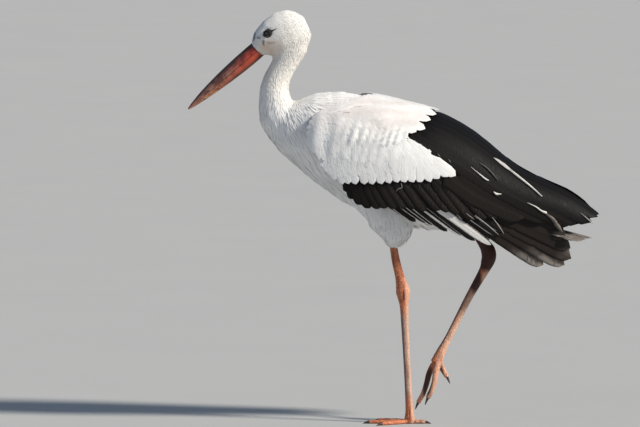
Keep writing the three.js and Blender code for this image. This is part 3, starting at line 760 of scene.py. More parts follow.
def around_spine(points):
    """Each point's place on the unwrapped body: along the spine and round it, both from 0 to 1."""
    start, step = SPINE[:-1], np.diff(SPINE, axis=0)
    flat = points[:, None, ::2] - start
    share = np.clip((flat * step).sum(-1) / (step**2).sum(-1), 0, 1)
    gap = np.linalg.norm(flat - share[..., None] * step, axis=-1)
    nearest = gap.argmin(1)
    row = np.arange(len(points))
    lengths = np.linalg.norm(step, axis=1)
    before = np.concatenate(((0,), np.cumsum(lengths)))
    along = (before[nearest] + share[row, nearest] * lengths[nearest]) / before[-1]
    ahead = step[nearest] / lengths[nearest][:, None]
    off = flat[row, nearest] - share[row, nearest][:, None] * step[nearest]
    up = off[:, 0] * -ahead[:, 1] + off[:, 1] * ahead[:, 0]
    return np.stack((along, np.arctan2(points[:, 1], up) / (2 * math.pi) + 0.5), -1)


def filled(unwrap):
    """The unwrap's part in use, stretched over the whole map."""
    low, high = unwrap.min(0), unwrap.max(0)
    return 0.01 + 0.98 * (unwrap - low) / (high - low)


def thinned(points, reach):
    """Which points stay when each one in turn clears away the later ones within its reach."""
    tree = KDTree(len(points))
    for i, place in enumerate(points.tolist()):
        tree.insert(place, i)
    tree.balance()
    alive = np.ones(len(points), bool)
    for i, (place, radius) in enumerate(zip(points.tolist(), reach.tolist())):
        if alive[i]:
            for _, j, _ in tree.find_range(place, radius):
                if j > i:
                    alive[j] = False
    return alive


CANDIDATES = 260000  # places tried on the skin, most of which are thinned away
CLOSENESS = 0.72  # the least distance of two roots, as a share of the lie's gap
DENSER_HEAD = 0.22  # how much smaller that gap is on the head and the upper neck


def scattered(surface, lie, rng, candidates=CANDIDATES):
    """Roots on the skin, as far apart as the lie's gap says."""
    a, b, c = (surface.points[surface.quads[:, k]] for k in range(3))
    area = np.linalg.norm(np.cross(b - a, c - a), axis=1)
    quad = rng.choice(len(area), candidates, p=area / area.sum())
    s, t = rng.random((2, candidates, 1))
    corner = [surface.points[surface.quads[quad, k]] for k in range(4)]
    near = corner[0] * (1 - s) + corner[1] * s
    far = corner[3] * (1 - s) + corner[2] * s
    points = near * (1 - t) + far * t
    keep = wanted(points)
    points, normals = points[keep], surface.normals[surface.quads[quad[keep], 0]]
    head = smoothstep(points[:, 2], 0.60, 0.68) * (points[:, 0] < -0.15)
    gap = lie(points)[:, 5] * MM * (1 - DENSER_HEAD * head)
    chosen = rng.random(len(points)) < np.clip((1.5 * MM / gap) ** 2 * 3.2, 0, 1)
    points, normals, gap = points[chosen], normals[chosen], gap[chosen]
    alive = thinned(points, gap * CLOSENESS)
    return points[alive], normals[alive]


EYE = np.array((-269.5, 19.6, 745)) * MM
EYE_RADIUS = 7.4 * MM
EYE_WAY = (-0.22, 0.96, 0.16)  # where the right eye looks
BARE_HALF = (8.0, 5.7)  # half length and half height of the bare skin round the eye
BARE_TILT = math.radians(24)
STREAK = (12.0, 12.5, 2.2)  # middle, half length and half height of the bare streak behind the eye


def bare_face(points):
    """How far points are out from the eye, as a share of the bare patch: 1 on its rim."""
    dx, dz = (points[:, 0] - EYE[0]) / MM, (points[:, 2] - EYE[2]) / MM
    along = dx * math.cos(BARE_TILT) + dz * math.sin(BARE_TILT)
    up = -dx * math.sin(BARE_TILT) + dz * math.cos(BARE_TILT)
    pointed = 1 - 0.25 * np.clip(-along / BARE_HALF[0], 0, 1)
    patch = np.hypot(along / BARE_HALF[0], up / (BARE_HALF[1] * pointed))
    streak = np.hypot((along - STREAK[0]) / STREAK[1], up / STREAK[2])
    return np.minimum(patch, streak)


def wanted(points):
    """Which places on the skin carry small feathers: not the bare face, nor what the wings hide."""
    x, z = points[:, 0] / MM, points[:, 2] / MM
    u, v, outside = wing_place(points)
    front, rear = white_edge(v, FRONT), white_edge(v, REAR)
    on_wing = (outside > -9) & (u > front + 12) & (u < rear + 40) & (v > -0.74) & (v < 0.93)
    hidden = (outside < -6) & (u > front + 40) & (v > -0.55) & (v < 0.85) & (u < 400)
    bare = (bare_face(points) < 1.0) & (z > 700) & (x < -240)
    return ~(on_wing | hidden | bare)


def over_wing(centre, across, up):
    """Lays feathers of the back that reach the front of a wing over its upper edge."""
    flat = centre.reshape(-1, 3)
    u, v, outside = wing_place(flat)
    front = white_edge(v, FRONT)
    share = smoothstep(u - front, -8, 2) * smoothstep(v, 0.15, 0.4) * smoothstep(outside, -16, -8)
    share = np.where(flat[:, 2] > 0.54, share, 0).reshape(*centre.shape[:2], 1)
    side = np.sign(flat[:, 1])
    normal = mirrored(wing_normal(u, v, 1), side).reshape(centre.shape)
    rise = (1 + 1.2 * np.linspace(0, 1, centre.shape[1])[None, :, None]) * MM
    target = mirrored(wing_point(u, v, 1), side).reshape(centre.shape) + normal * rise
    centre = centre + (target - centre) * share
    up = unit(up + (normal - up) * share)
    beside = unit(np.cross(np.gradient(centre, axis=1), up))
    return centre, np.where(share > 0, beside, across), up


ROOT_SUNK, TIP_OVER_ROOT = 0.5 * MM, 0.7 * MM


def small_feathers(surface, lie, roots, normals, rng, stations):
    """Centre lines of feathers that follow the lie over the skin from their roots."""
    values = lie(roots)
    count = len(roots)
    length = values[:, 3] * MM * rng.uniform(0.82, 1.18, count)
    lift = values[:, 6] * MM * rng.uniform(0.2, 0.8, count)
    turn = rng.normal(0, 1, count) * np.clip(0.03 + values[:, 6] * 0.022, 0.06, 0.3)
    centre, across, up = (np.empty((count, stations, 3)) for _ in range(3))
    place, normal = roots.copy(), normals.copy()
    for k in range(stations):
        heading = lie(place)[:, :3]
        heading = unit(heading - normal * (heading * normal).sum(1, keepdims=True))
        beside = np.cross(heading, normal)
        heading = unit(heading + beside * turn[:, None])
        beside = np.cross(heading, normal)
        share = k / (stations - 1)
        height = -ROOT_SUNK + (TIP_OVER_ROOT + lift) * share
        centre[:, k] = place + normal * height[:, None]
        across[:, k], up[:, k] = beside, normal
        if k < stations - 1:
            ahead = place + heading * (length / (stations - 1))[:, None]
            place, normal = surface.settle(ahead)
    centre, across, up = over_wing(centre, across, up)
    return centre, across, up, values


def outline(stations, widest, tip):
    """Half widths of a small feather from its root to its tip, as shares of the widest one."""
    t = np.linspace(0, 1, stations)
    root = np.minimum(0.35 + t / widest * 0.65, 1)
    return np.clip(root * np.sqrt(np.clip(1 - t**tip, 0.004, 1)), 0.05, 1)


def body_parts(roots):
    """Which roots belong to each piece of the coat."""
    x, y, z = (roots / MM).T
    head = (z > 702) & (x < -185)
    neck = ~head & (x < -195) & (z > 592)
    left_thigh = (y < -6) & (z < 415) & (np.hypot(x + 36, y + 34) < 44)
    back, up = x - 50, z - 438
    right_thigh = (y > 10) & (np.abs(back * 0.64 + up * 0.77) < 75) & (z < 452) & (x > 8) & (x < 112)
    right_thigh &= np.abs(back * 0.77 + up * 0.64) < 60
    thighs = ~head & ~neck & (left_thigh | right_thigh)
    breast = ~head & ~neck & ~thighs & (x < -140)
    trunk = ~(head | neck | thighs | breast)
    return {"head": head, "neck": neck, "thighs": thighs, "breast": breast, "trunk": trunk}


BODY_SHAPES = {  # stations, places across, widest place, tip's power, crown
    "head": (4, (-1, 0, 1), 0.3, 1.5, 0.12),
    "neck": (5, (-1, 0, 1), 0.3, 1.3, 0.14),
    "breast": (8, (-1, 0, 1), 0.3, 1.1, 0.16),
    "thighs": (7, (-1, 0, 1), 0.3, 1.1, 0.16),
    "trunk": (6, (-1, -0.5, 0, 0.5, 1), 0.4, 2.6, 0.10),
}


def dress_body(surface, material):
    rng = np.random.default_rng(11)
    lie = Lie()
    roots, normals = scattered(surface, lie, rng)
    parts = body_parts(roots)
    unwrap = around_spine(roots)
    for name, chosen in parts.items():
        stations, columns, widest, tip, crown = BODY_SHAPES[name]
        count = int(chosen.sum())
        placed = roots[chosen], normals[chosen]
        centre, across, up, values = small_feathers(surface, lie, *placed, rng, stations)
        half = values[:, 4] * MM / 2 * rng.uniform(0.85, 1.15, count)
        shape = outline(stations, widest, tip)
        fray = 1 + rng.uniform(-0.16, 0.10, (count, stations, 2))
        wide = half[:, None, None] * shape[None, :, None] * fray
        softness = 0.85 if name in ("head", "neck") else 0.7
        coat = Coat("coat_" + name, material, "plumage_white", softness)
        thick = np.clip(half * 0.16, 0.16 * MM, 0.4 * MM)[:, None, None]
        coat.add(centre, across, up, wide, thick, crown, columns, rng.random(count), filled(unwrap[chosen]))
        coat.build()


# ---------------------------------------------------------------- wings


def grid_patch(u, v):
    """A tuft's patch at its root's place on the unwrapped wing."""
    return np.stack((0.02 + 0.96 * (u + 40) / 640, 0.02 + 0.96 * (v + 1.1) / 2.2), -1)


# place (u, v), direction (back, up), length, width, gap, lift
WHITE_LIE = np.array([
    (60, -0.6, 0.5, -0.86, 40, 17, 9, 0.5),
    (110, -0.56, 0.52, -0.85, 46, 21, 12, 0.5),
    (30, -0.3, 0.5, -0.86, 30, 15, 8, 0.6),
    (110, -0.3, 0.54, -0.84, 44, 20, 11, 0.5),
    (160, -0.3, 0.56, -0.83, 50, 22, 12, 0.5),
    (10, 0, 0.54, -0.84, 24, 13, 7, 0.7),
    (80, 0, 0.54, -0.84, 32, 15, 8, 0.6),
    (160, -0.05, 0.58, -0.81, 44, 20, 11, 0.5),
    (220, -0.02, 0.7, -0.71, 52, 22, 12, 0.5),
    (260, 0.06, 0.86, -0.5, 60, 22, 12, 0.5),
    (290, 0.15, 0.98, -0.18, 70, 22, 12, 0.5),
    (10, 0.2, 0.66, -0.74, 22, 12, 6.6, 0.7),
    (100, 0.18, 0.6, -0.79, 28, 14, 7.6, 0.7),
    (150, 0.26, 0.86, -0.5, 40, 16, 9, 0.6),
    (20, 0.36, 0.86, -0.5, 34, 15, 8.4, 0.6),
    (70, 0.42, 0.95, -0.3, 52, 21, 11, 0.7),
    (140, 0.42, 0.98, -0.18, 70, 26, 13, 0.9),
    (60, 0.62, 0.98, -0.14, 54, 21, 11, 0.7),
    (130, 0.62, 0.99, -0.12, 72, 26, 13, 0.9),
    (196, 0.56, 0.98, -0.16, 84, 30, 15, 1.2),
    (200, 0.85, 1, -0.06, 80, 26, 13.5, 1),
    (110, 0.88, 1, -0.04, 60, 21, 11.5, 0.8),
], float)
# u, and v of the row of lumps there
LUMP_ROW = ((30, 60, 90, 135, 160, 190), (0.05, 0.09, 0.135, 0.18, 0.25, 0.28))
LUMP_STEP = 14.5  # from one lump to the next
MEAN_ARC = 105  # millimetres of wing surface to one unit of v, roughly


def white_lie(u, v):
    away = ((u[:, None] - WHITE_LIE[:, 0]) / 60) ** 2 + ((v[:, None] - WHITE_LIE[:, 1]) / 0.32) ** 2
    weight = (away + 0.03) ** -2.2
    return (weight / weight.sum(1, keepdims=True)) @ WHITE_LIE[:, 2:]


def relief(u, v):
    """Height in millimetres of the soft forms in the white of the wing."""
    up = v - np.interp(u, *LUMP_ROW)
    beat = 0.5 + 0.5 * np.cos(2 * math.pi * (u + 5 * np.sin(u / 21)) / LUMP_STEP)
    beat *= 0.65 + 0.35 * np.sin(u / 11 + 1)
    there = smoothstep(u, 34, 64) * fade(u, 158, 192)
    lumps = (1.2 + 2.4 * beat) * smoothstep(up, -0.05 - 0.035 * beat, 0.01) * fade(up, 0.02, 0.26)
    drapes = 0.9 * (0.5 + 0.5 * np.sin(u / 3.1 + 6 * v + 2 * np.sin(u / 17))) * bell(up, -0.16, 0.11)
    folds = 1.2 * (1 + np.sin(u / 15 + 3.1 * np.sin(v * 4 + 1)))
    folds = folds * smoothstep(v, 0.2, 0.45) * fade(v, 0.8, 1)
    folds *= smoothstep(u, 40, 80) * fade(u, 180, 215)
    step = smoothstep(v - 0.3 + 0.03 * np.sin(u / 9), 0, 0.1)
    mantle = 2.4 * step * smoothstep(u, 60, 120) * (u < 230)
    front = 1.2 * (1 + np.sin(u / 6.5 + 5 * v)) * smoothstep(u, -12, 5) * fade(u, 34, 62) * bell(v, 0, 0.4)
    return (lumps + drapes) * there + folds + mantle + front


def arc_length(u, v):
    """Millimetres of wing surface to one unit of v at a place."""
    step = wing_point(u, v + 0.01, 1) - wing_point(u, v - 0.01, 1)
    return np.linalg.norm(step, axis=-1) / MM / 0.02


def white_tips(rng):
    """Tips of the white wing feathers: spread over the white area, and a row along its rear edge."""
    count = 9000
    u, v = rng.uniform(-10, 296, count), rng.uniform(-0.70, 0.96, count)
    front, rear = white_edge(v, FRONT), white_edge(v, REAR)
    inside = (u > front - 2 - 9 * smoothstep(v, 0.3, 0.45)) & (u < rear - 9)
    u, v = u[inside], v[inside]
    levels = np.linspace(-0.66, 0.95, 140)
    edge = white_edge(levels, REAR)
    u, v = np.concatenate((edge - rng.uniform(0, 2.5, len(edge)), u)), np.concatenate((levels, v))
    reach = white_lie(u, v)[:, 4] * np.where(np.arange(len(u)) < len(levels), 1.1, 0.8)
    alive = thinned(np.stack((u, v * MEAN_ARC, np.zeros(len(u))), -1), reach)
    return u[alive], v[alive]


def laid(u, v, side, height, form):
    lifted = height + (relief(u, v) if form else 0)
    return wing_point(u, v, side) + wing_normal(u, v, side) * (lifted * MM)[..., None]


def lay_on_wing(side, u, v, height, form=False):
    """Places on the wing raised by height millimetres, with the way across and the normal there."""
    centre = laid(u, v, side, height, form)
    level = 0 * u
    back = laid(u + 1.5, v, side, level, form) - laid(u - 1.5, v, side, level, form)
    up = laid(u, v + 0.012, side, level, form) - laid(u, v - 0.012, side, level, form)
    normal = unit(np.cross(back, up) * -side)
    ahead = unit(np.gradient(centre, axis=1))
    return centre, unit(np.cross(ahead, normal)), normal


def sitting(side, height, form=False):
    """Moves points near the wing along its normal to a height in millimetres over it."""

    def moved(points):
        flat = points.reshape(-1, 3)
        level = np.broadcast_to(height[:, :, None], points.shape[:3]).ravel()
        for _ in range(2):
            u, v, _ = wing_place(flat)
            normal = wing_normal(u, v, side)
            gap = ((flat - wing_point(u, v, side)) * normal).sum(1) / MM
            wanted_gap = level + (relief(u, v) if form else 0)
            flat = flat + normal * (np.clip(wanted_gap - gap, -6, 6) * MM)[:, None]
        return flat.reshape(points.shape)

    return moved


def kept_white(centre, across, wide, slack=3.0):
    """Half widths made narrower where a vane would reach over the rear edge of the white."""
    kept = wide.copy()
    for k, way in enumerate((-1, 1)):
        best = np.full(wide.shape[:2], 0.04)
        inside = np.ones(wide.shape[:2], bool)
        for share in (0.2, 0.4, 0.6, 0.8, 1.0):
            edge = centre + across * (way * share * wide[..., k])[..., None]
            u, v, _ = wing_place(edge.reshape(-1, 3))
            limit = white_edge(v, REAR) + slack
            inside &= (u < limit).reshape(inside.shape)
            best = np.where(inside, share, best)
        kept[..., k] *= best
    return kept


SHORTENINGS, SHORTER = 14, 0.86  # how often a feather that leaves the white is shortened, and by what


def dress_white_wing(side_name, side, material):
    rng = np.random.default_rng(23)
    tip_u, tip_v = white_tips(rng)
    values = white_lie(tip_u, tip_v)
    count, stations = len(tip_u), 11
    heading = unit(values[:, :2] + rng.normal(0, 0.04, (count, 2)))
    length = values[:, 2] * rng.uniform(0.9, 1.1, count)
    scale = arc_length(tip_u, tip_v)
    t = np.linspace(0, 1, stations)[None] ** 0.8
    for _ in range(SHORTENINGS):
        u = tip_u[:, None] - heading[:, :1] * length[:, None] * (1 - t)
        v = tip_v[:, None] - heading[:, 1:] * length[:, None] * (1 - t) / scale[:, None]
        v = np.clip(v, -1, 0.985)
        front, rear = white_edge(v, FRONT), white_edge(v, REAR)
        past = (u > rear + 4) | (u < front - 5 - 13 * smoothstep(v, 0.3, 0.45))
        length = np.where(past.any(1), length * SHORTER, length)
    lift = values[:, 5] * rng.uniform(0.6, 1.4, count)
    height = 0.2 + 0.55 * lift[:, None] * t**1.5 - 1.4 * fade(t, 0.0, 0.25)
    centre, across, normal = lay_on_wing(side, u, v, height, form=True)
    half = values[:, 3] * MM / 2 * rng.uniform(0.9, 1.1, count)
    fray = 1 + rng.uniform(-0.06, 0.04, (count, stations, 2))
    shape = np.sqrt(np.clip(1 - t[0] ** 6, 0.004, 1)) * np.minimum(0.15 + t[0] * 2.4, 1)
    full = half[:, None, None] * shape[None, :, None] * fray
    wide = kept_white(centre, across, full)
    whole = (wide / full).mean(-1)[:, 1:-1].min(1) > 0.45
    wide *= np.where(whole, 1, 0.02)[:, None, None]
    coat = Coat(f"coat_{side_name}_wing_white", material, "plumage_white", softness=0.72)
    columns = (-1, -0.6, -0.2, 0.2, 0.6, 1)
    coat.add(centre, across, normal, wide, 0.34 * MM, 0.06, columns, rng.random(count),
             grid_patch(u[:, 0], v[:, 0]), sit=sitting(side, height, form=True))
    coat.build()


# root (u, v) and tip (u, v) of every long feather of the folded wing, from the outermost of each group
FLIGHT = {
    "coverts": [
        (86, -0.44, 103, -0.78), (89, -0.43, 114, -0.88), (94, -0.4, 130, -0.95),
        (101, -0.37, 150, -0.96), (110, -0.32, 164, -0.9), (120, -0.27, 178, -0.84),
        (132, -0.2, 194, -0.78), (146, -0.14, 212, -0.7), (160, -0.08, 230, -0.63),
        (176, -0.02, 252, -0.62), (196, 0.03, 272, -0.5), (218, 0.06, 292, -0.47),
        (240, 0.08, 314, -0.46), (262, 0.08, 340, -0.48), (286, 0.1, 364, -0.36), (306, 0.12, 388, -0.28),
    ],
    "tertials": [
        (160, 0.95, 350, 0.97), (160, 0.87, 452, 0.93), (160, 0.79, 544, 0.86), (160, 0.71, 562, 0.7),
        (160, 0.63, 563, 0.55), (150, 0.55, 556, 0.41), (140, 0.47, 558, 0.28), (130, 0.4, 540, 0.15),
        (130, 0.33, 524, 0.05), (140, 0.26, 482, 0.0), (160, 0.19, 430, -0.1),
    ],
    "secondaries": [
        (90, -0.5, 196, -0.82), (105, -0.5, 216, -0.87), (122, -0.47, 243, -0.92),
        (140, -0.44, 262, -0.87), (155, -0.4, 278, -0.86), (168, -0.36, 303, -0.92),
        (184, -0.33, 334, -0.89), (200, -0.28, 360, -0.92), (222, -0.3, 393, -0.9),
        (262, -0.16, 404, -0.66), (284, -0.1, 410, -0.55),
    ],
    "primaries": [
        (330, 0.03, 500, 0.0), (326, -0.05, 521, -0.22), (321, -0.12, 538, -0.42),
        (314, -0.19, 546, -0.62), (306, -0.26, 538, -0.8), (297, -0.33, 502, -0.955),
    ],
}
# half width, depth of the outermost and of the innermost under the wing surface, roundness of the tip
FLIGHT_SHAPES = {
    "coverts": (11.5, 4.4, 3.2, 0.22),
    "tertials": (20.0, 1.8, 2.8, 0.14),
    "secondaries": (8.2, 11.5, 7.5, 0.30),
    "primaries": (15.5, 8.5, 12.5, 0.16),
}
FLIGHT_TILT = {"coverts": 0.07, "tertials": 0.03, "secondaries": 0.04, "primaries": 0.05}
# the pale share of each secondary's web
SILVER_WEBS = (0.08, 0.1, 0.14, 0.22, 0.22, 0.12, 0.62, 0.12, 1.9, 0.16, 0.16)
FLIGHT_COLUMNS = (-1, -0.72, -0.4, -0.12, 0, 0.12, 0.4, 0.72, 1)
# Narrow pale vanes that show between the dark ones: (u, v, half width) along each, then how pale, brown
# and dirty it is, and its height over the wing surface.
SLIVERS = [
    ([(340, 0.574, 0.8), (352, 0.59, 4.2), (368, 0.58, 5.0),
      (384, 0.552, 2.6), (418, 0.455, 1.5), (449, 0.33, 0.8)],
     0.62, 0, 0, 0.6),
    ([(376, 0.572, 0.5), (392, 0.545, 1.6), (420, 0.455, 1.7), (451, 0.33, 0.8)], 1, 0, 0, 1.2),
    ([(304, 0.256, 0.4), (322, 0.229, 0.9), (338, 0.205, 1.5), (345, 0.208, 0.8)], 0.95, 0, 0, 0.2),
    ([(318, 0.363, 0.6), (338, 0.343, 1.6), (361, 0.277, 0.8)], 0.2, 1, 0.3, 0.2),
    ([(360, 0.104, 0.5), (367, 0.092, 2.0), (376, 0.115, 0.6)], 1, 0, 0, 0.4),
    ([(428, 0.134, 0.4), (446, 0.118, 1.1), (459, 0.088, 1.5), (467, 0.085, 2.2), (470, 0.08, 1.0)],
     0.95, 0, 0, 0.2),
    ([(468, 0.07, 1.6), (487, 0.02, 3.6), (500, -0.06, 3.8), (510, -0.14, 1.2)], 0.17, 1, 0.6, -0.6),
    ([(531, 0.358, 0.4), (548, 0.3, 0.9), (561, 0.244, 0.6)], 0.55, 0, 0.2, 0.4),
    ([(343, -0.376, 0.5), (370, -0.49, 1.0), (397, -0.615, 0.5)], 0.42, 0, 0.2, -3.0),
    ([(374, -0.302, 0.5), (390, -0.42, 1.0), (406, -0.56, 0.5)], 0.42, 0, 0.2, -3.0),
    ([(325, -0.395, 0.4), (334, -0.43, 0.7), (343, -0.465, 0.4)], 0.4, 0, 0.2, -1.8),
    ([(189, -0.22, 0.3), (193, -0.31, 0.5), (187, -0.36, 0.4), (185, -0.42, 0.3)], 0.75, 0, 0.3, -1.2),
]


def blade(stations, roundness):
    """Half widths of a long feather: narrow at the root, even, and rounded at the tip."""
    t = np.linspace(0, 1, stations)
    root = 0.45 + 0.55 * smoothstep(t, 0, 0.25)
    tip = np.clip((t - 1 + roundness) / roundness, 0, 1)
    return root * np.clip(np.sqrt(1 - tip**2.4), 0.05, 1)


def long_feathers(side, rows, half, depths, roundness, rng, stations=30):
    """Centre lines and widths of long feathers on the wing, with frayed edges."""
    count = len(rows)
    t = np.linspace(0, 1, stations)[None]
    root_u, root_v, tip_u, tip_v = rows.T[:, :, None]
    u = root_u + (tip_u - root_u) * t
    v = root_v + (tip_v - root_v) * t
    depth = np.linspace(*depths, count)[:, None]
    rear = white_edge(v, REAR)
    height = -depth + rng.normal(0, 0.2, (count, 1)) - 4 * smoothstep(rear - u, 0, 16)
    centre, across, normal = lay_on_wing(side, u, v, height)
    shape = blade(stations, roundness)[None, :, None]
    wide = half * MM * shape * np.ones((count, stations, 2))
    wide *= 1 + rng.uniform(-0.035, 0.02, wide.shape)
    split = rng.random(wide.shape) < 0.03
    wide *= np.where(split, rng.uniform(0.72, 0.9, wide.shape), 1)
    return centre, across, normal, wide, height


def strip_patch(first, count, total):
    """Each long feather is a strip of its own on the map, one above the other."""

    def place(share, ring):
        row = first + np.arange(count)[:, None, None]
        shape = (count, share.shape[1], len(ring))
        x = np.broadcast_to(0.02 + 0.96 * share, shape)
        y = (row + 0.5 + 0.42 * ring[None, None]) / total
        return np.stack((x, np.broadcast_to(y, shape)), -1)

    return place


def flight_tone(name, count, stations, columns, low_first, rng):
    """How pale, brown and dirty a group's feathers are over their length and width; on the coverts part of
    the brown and pale is a painted sheen.
    """
    t = np.linspace(0, 1, stations)[None, :, None]
    s = np.array(columns)[None, None, :] * low_first  # 1 on the edge that shows
    order = np.linspace(0, 1, count)[:, None, None]
    pale, brown, dirt = (np.zeros((count, stations, len(columns))) for _ in range(3))
    if name == "coverts":
        # painted sheen: a brown, paler stripe along the exposed web of each covert
        gleam = bell(s, 0.1, 0.4) * smoothstep(order, 0.1, 0.4)
        brown += 0.3 + 0.7 * gleam * smoothstep(t, 0.2, 0.6)
        pale += 0.13 * gleam * (0.4 + 0.6 * rng.random((count, 1, 1)))
    elif name == "tertials":
        brown += 0.02 + 0.55 * smoothstep(order, 0.62, 1.0)
        pale += 0.10 * smoothstep(s, 0.7, 1) * (order > 0.5) * (rng.random((count, 1, 1)) > 0.6)
    elif name == "secondaries":
        web = np.array(SILVER_WEBS)[:, None, None]
        pale += smoothstep(s, 1.0 - web, 1.1 - 0.8 * web) * smoothstep(t, 0.08, 0.3) * 0.9
        pale *= np.where(web > 0.5, 1, fade(t, 0.84, 0.94))
        brown += 0.3
    else:
        brown += 0.55 + 0.45 * order + 0.2 * t
        buff = smoothstep(s, -0.2, 0.5) * smoothstep(t, 0.62, 0.86) * (order > 0.7)
        pale += 0.24 * buff + 0.10 * smoothstep(s, 0.5, 0.9) * smoothstep(t, 0.85, 0.97)
        dirt += 0.8 * buff + 0.5 * smoothstep(t, 0.86, 0.98) * order
    return np.stack((pale, brown, dirt), -1)


def add_slivers(coat, side, rng):
    """The narrow pale vanes of one wing."""
    stations, columns = 16, (-1, 0, 1)
    for number, (rows, pale, brown, dirt, height) in enumerate(SLIVERS):
        line = smooth_line(rows, stations)
        u, v = line[None, :, 0], line[None, :, 1]
        height = np.full(u.shape, float(height))
        centre, across, normal = lay_on_wing(side, u, v, height)
        wide = np.abs(line[None, :, 2, None]) * MM * (1 + rng.uniform(-0.12, 0.08, (1, stations, 2)))
        tone = np.broadcast_to(np.array((pale, brown, dirt), float), (1, stations, len(columns), 3))
        patch = strip_patch(number, 1, len(SLIVERS) * 4)
        coat.add(centre, across, normal, wide, 0.6 * MM, 0.1, columns, rng.random(1), patch, tone,
                 sit=sitting(side, height))


def dress_dark_wing(side_name, side, material):
    rng = np.random.default_rng(31)
    for name, rows in FLIGHT.items():
        half, outer_depth, inner_depth, roundness = FLIGHT_SHAPES[name]
        rows = np.array(rows, float)
        count = len(rows)
        rows[:, 2] += rng.normal(0, 2.0, count)
        rows[:, 3] += rng.normal(0, 0.008, count)
        depths = outer_depth, inner_depth
        centre, across, normal, wide, height = long_feathers(side, rows, half, depths, roundness, rng)
        down = np.sign((across[..., 2] < 0).mean() - 0.5)
        tone = flight_tone(name, count, centre.shape[1], FLIGHT_COLUMNS, down, rng)
        slot = "plumage_silver" if name == "secondaries" else "plumage_black"
        coat = Coat(f"coat_{side_name}_{name}", material, slot, softness=0.35)
        coat.add(centre, across, normal, wide, 0.8 * MM, 0.05, FLIGHT_COLUMNS, rng.random(count),
                 strip_patch(0, count, count), tone, FLIGHT_TILT[name] * down, sitting(side, height))
        if name == "tertials":
            add_slivers(coat, side, rng)
        coat.build(f"wing_{side_name}_{name}")


# ---------------------------------------------------------------- tail

TAIL_ROOT = (137, 413)
TAIL_SLOPE = math.radians(15)
TAIL_SPREAD = math.radians(8)
TAIL_ARCH = 170


def tail_point(back, outward, rise):
    c, s = math.cos(TAIL_SLOPE), math.sin(TAIL_SLOPE)
    up = rise - outward**2 / TAIL_ARCH
    return np.stack((TAIL_ROOT[0] + back * c + up * s, outward, TAIL_ROOT[1] - back * s + up * c), -1) * MM


TAIL_LENGTH = 215
TAIL_HALF_WIDTH = 12.5  # of one feather
TAIL_NOTCHES = 0.17  # the share of the places on an edge where the vane is worn


def dress_tail(material):
    rng = np.random.default_rng(41)
    count, stations = 12, 30
    share = np.linspace(-1, 1, count)
    t = np.linspace(0, 1, stations)[None]
    length = (TAIL_LENGTH - 23 * share**2 + rng.normal(0, 3, count))[:, None] * t
    turn = (share * TAIL_SPREAD + rng.normal(0, 0.012, count))[:, None]
    outward = share[:, None] * 12 + np.sin(turn) * length
    back = length * np.cos(turn)
    centre = tail_point(back, outward, -1.6 - 1.4 * np.abs(share)[:, None])
    ahead = unit(np.gradient(centre, axis=1))
    side_step = tail_point(back, outward + 1, -2) - tail_point(back, outward - 1, -2)
    normal = unit(np.cross(ahead, side_step))
    normal *= np.sign(normal[..., 2:])
    across = unit(np.cross(ahead, normal))
    wide = TAIL_HALF_WIDTH * MM * blade(stations, 0.10)[None, :, None] * np.ones((count, stations, 2))
    wide *= 1 + rng.uniform(-0.05, 0.03, wide.shape)
    wear_and_sheen = rng.random(wide.shape) < TAIL_NOTCHES
    wide *= np.where(wear_and_sheen, rng.uniform(0.5, 0.85, wide.shape), 1)
    pale = 0.19 + 0.06 * np.abs(np.array(FLIGHT_COLUMNS))
    dirt = 0.35 + 0.3 * smoothstep(t[..., None], 0.5, 1)
    spread = (count, stations, len(FLIGHT_COLUMNS))
    tone = np.stack([np.broadcast_to(part, spread) for part in (pale, 0.5, dirt)], -1)
    coat = Coat("coat_tail", material, "plumage_dusky")
    coat.add(centre, across, normal, wide, 1.0 * MM, 0.05, FLIGHT_COLUMNS, rng.random(count),
             strip_patch(0, count, count), tone)
    coat.build("tail")


# ---------------------------------------------------------------- bill, eyes and lids


def tube_grid(rows, sides, count):
    """Points of a tube as (count, sides, 3), from rows of (x, y, z, half height, half width)."""
    rows = smooth_line(rows, count)
    spine, high, wide = rows[:, :3], np.abs(rows[:, 3]), np.abs(rows[:, 4])
    ahead = unit(np.gradient(spine, axis=0))
    beside = unit(RIGHT - ahead * ahead[:, 1:2])
    up = np.cross(ahead, beside)
    angle = np.linspace(0, 2 * math.pi, sides, endpoint=False)
    across, rise = np.cos(angle), np.sin(angle)
    offset = beside[:, None] * (wide[:, None] * across)[..., None]
    offset = offset + up[:, None] * (high[:, None] * rise)[..., None]
    return (spine[:, None] + offset) * MM


def tube_faces(count, sides, start=0):
    """Outward quads of a closed tube, and its two end caps."""
    grid = start + np.arange(count * sides).reshape(count, sides)
    a, b = grid[:-1], grid[1:]
    quads = np.stack((a, np.roll(a, -1, 1), np.roll(b, -1, 1), b), -1).reshape(-1, 4)
    return quads, grid[:1, ::-1], grid[-1:]


def facing_out(points, faces):
    """The faces, turned round if the closed body they bound is inside out."""
    volume = 0.0
    for f in faces:
        for k in range(1, f.shape[1] - 1):
            a, b, c = points[f[:, 0]], points[f[:, k]], points[f[:, k + 1]]
            volume += (a * np.cross(b, c)).sum()
    return faces if volume > 0 else [f[:, ::-1] for f in faces]


BILL = [(-281, 0, 720, 14, 10.5), (-292, 0, 710, 15.5, 11.5), (-323, 0, 683.5, 15, 10),
        (-355, 0, 656.5, 12.8, 8), (-386, 0, 630, 9, 5.6), (-407, 0, 611.5, 5, 3.6),
        (-420, 0, 600, 1.5, 1.5)]
GAPE_RISE = -1.5  # the middle of the cutting edges over the bill's axis
HALF_GAPE = 0.22
NOSTRIL_ALONG, NOSTRIL_UP = (0.17, 0.055), (0.42, 0.10)  # middle and half length of the slit
BILL_RINGS, BILL_ARC, GAPE_POINTS = 110, 25, 7


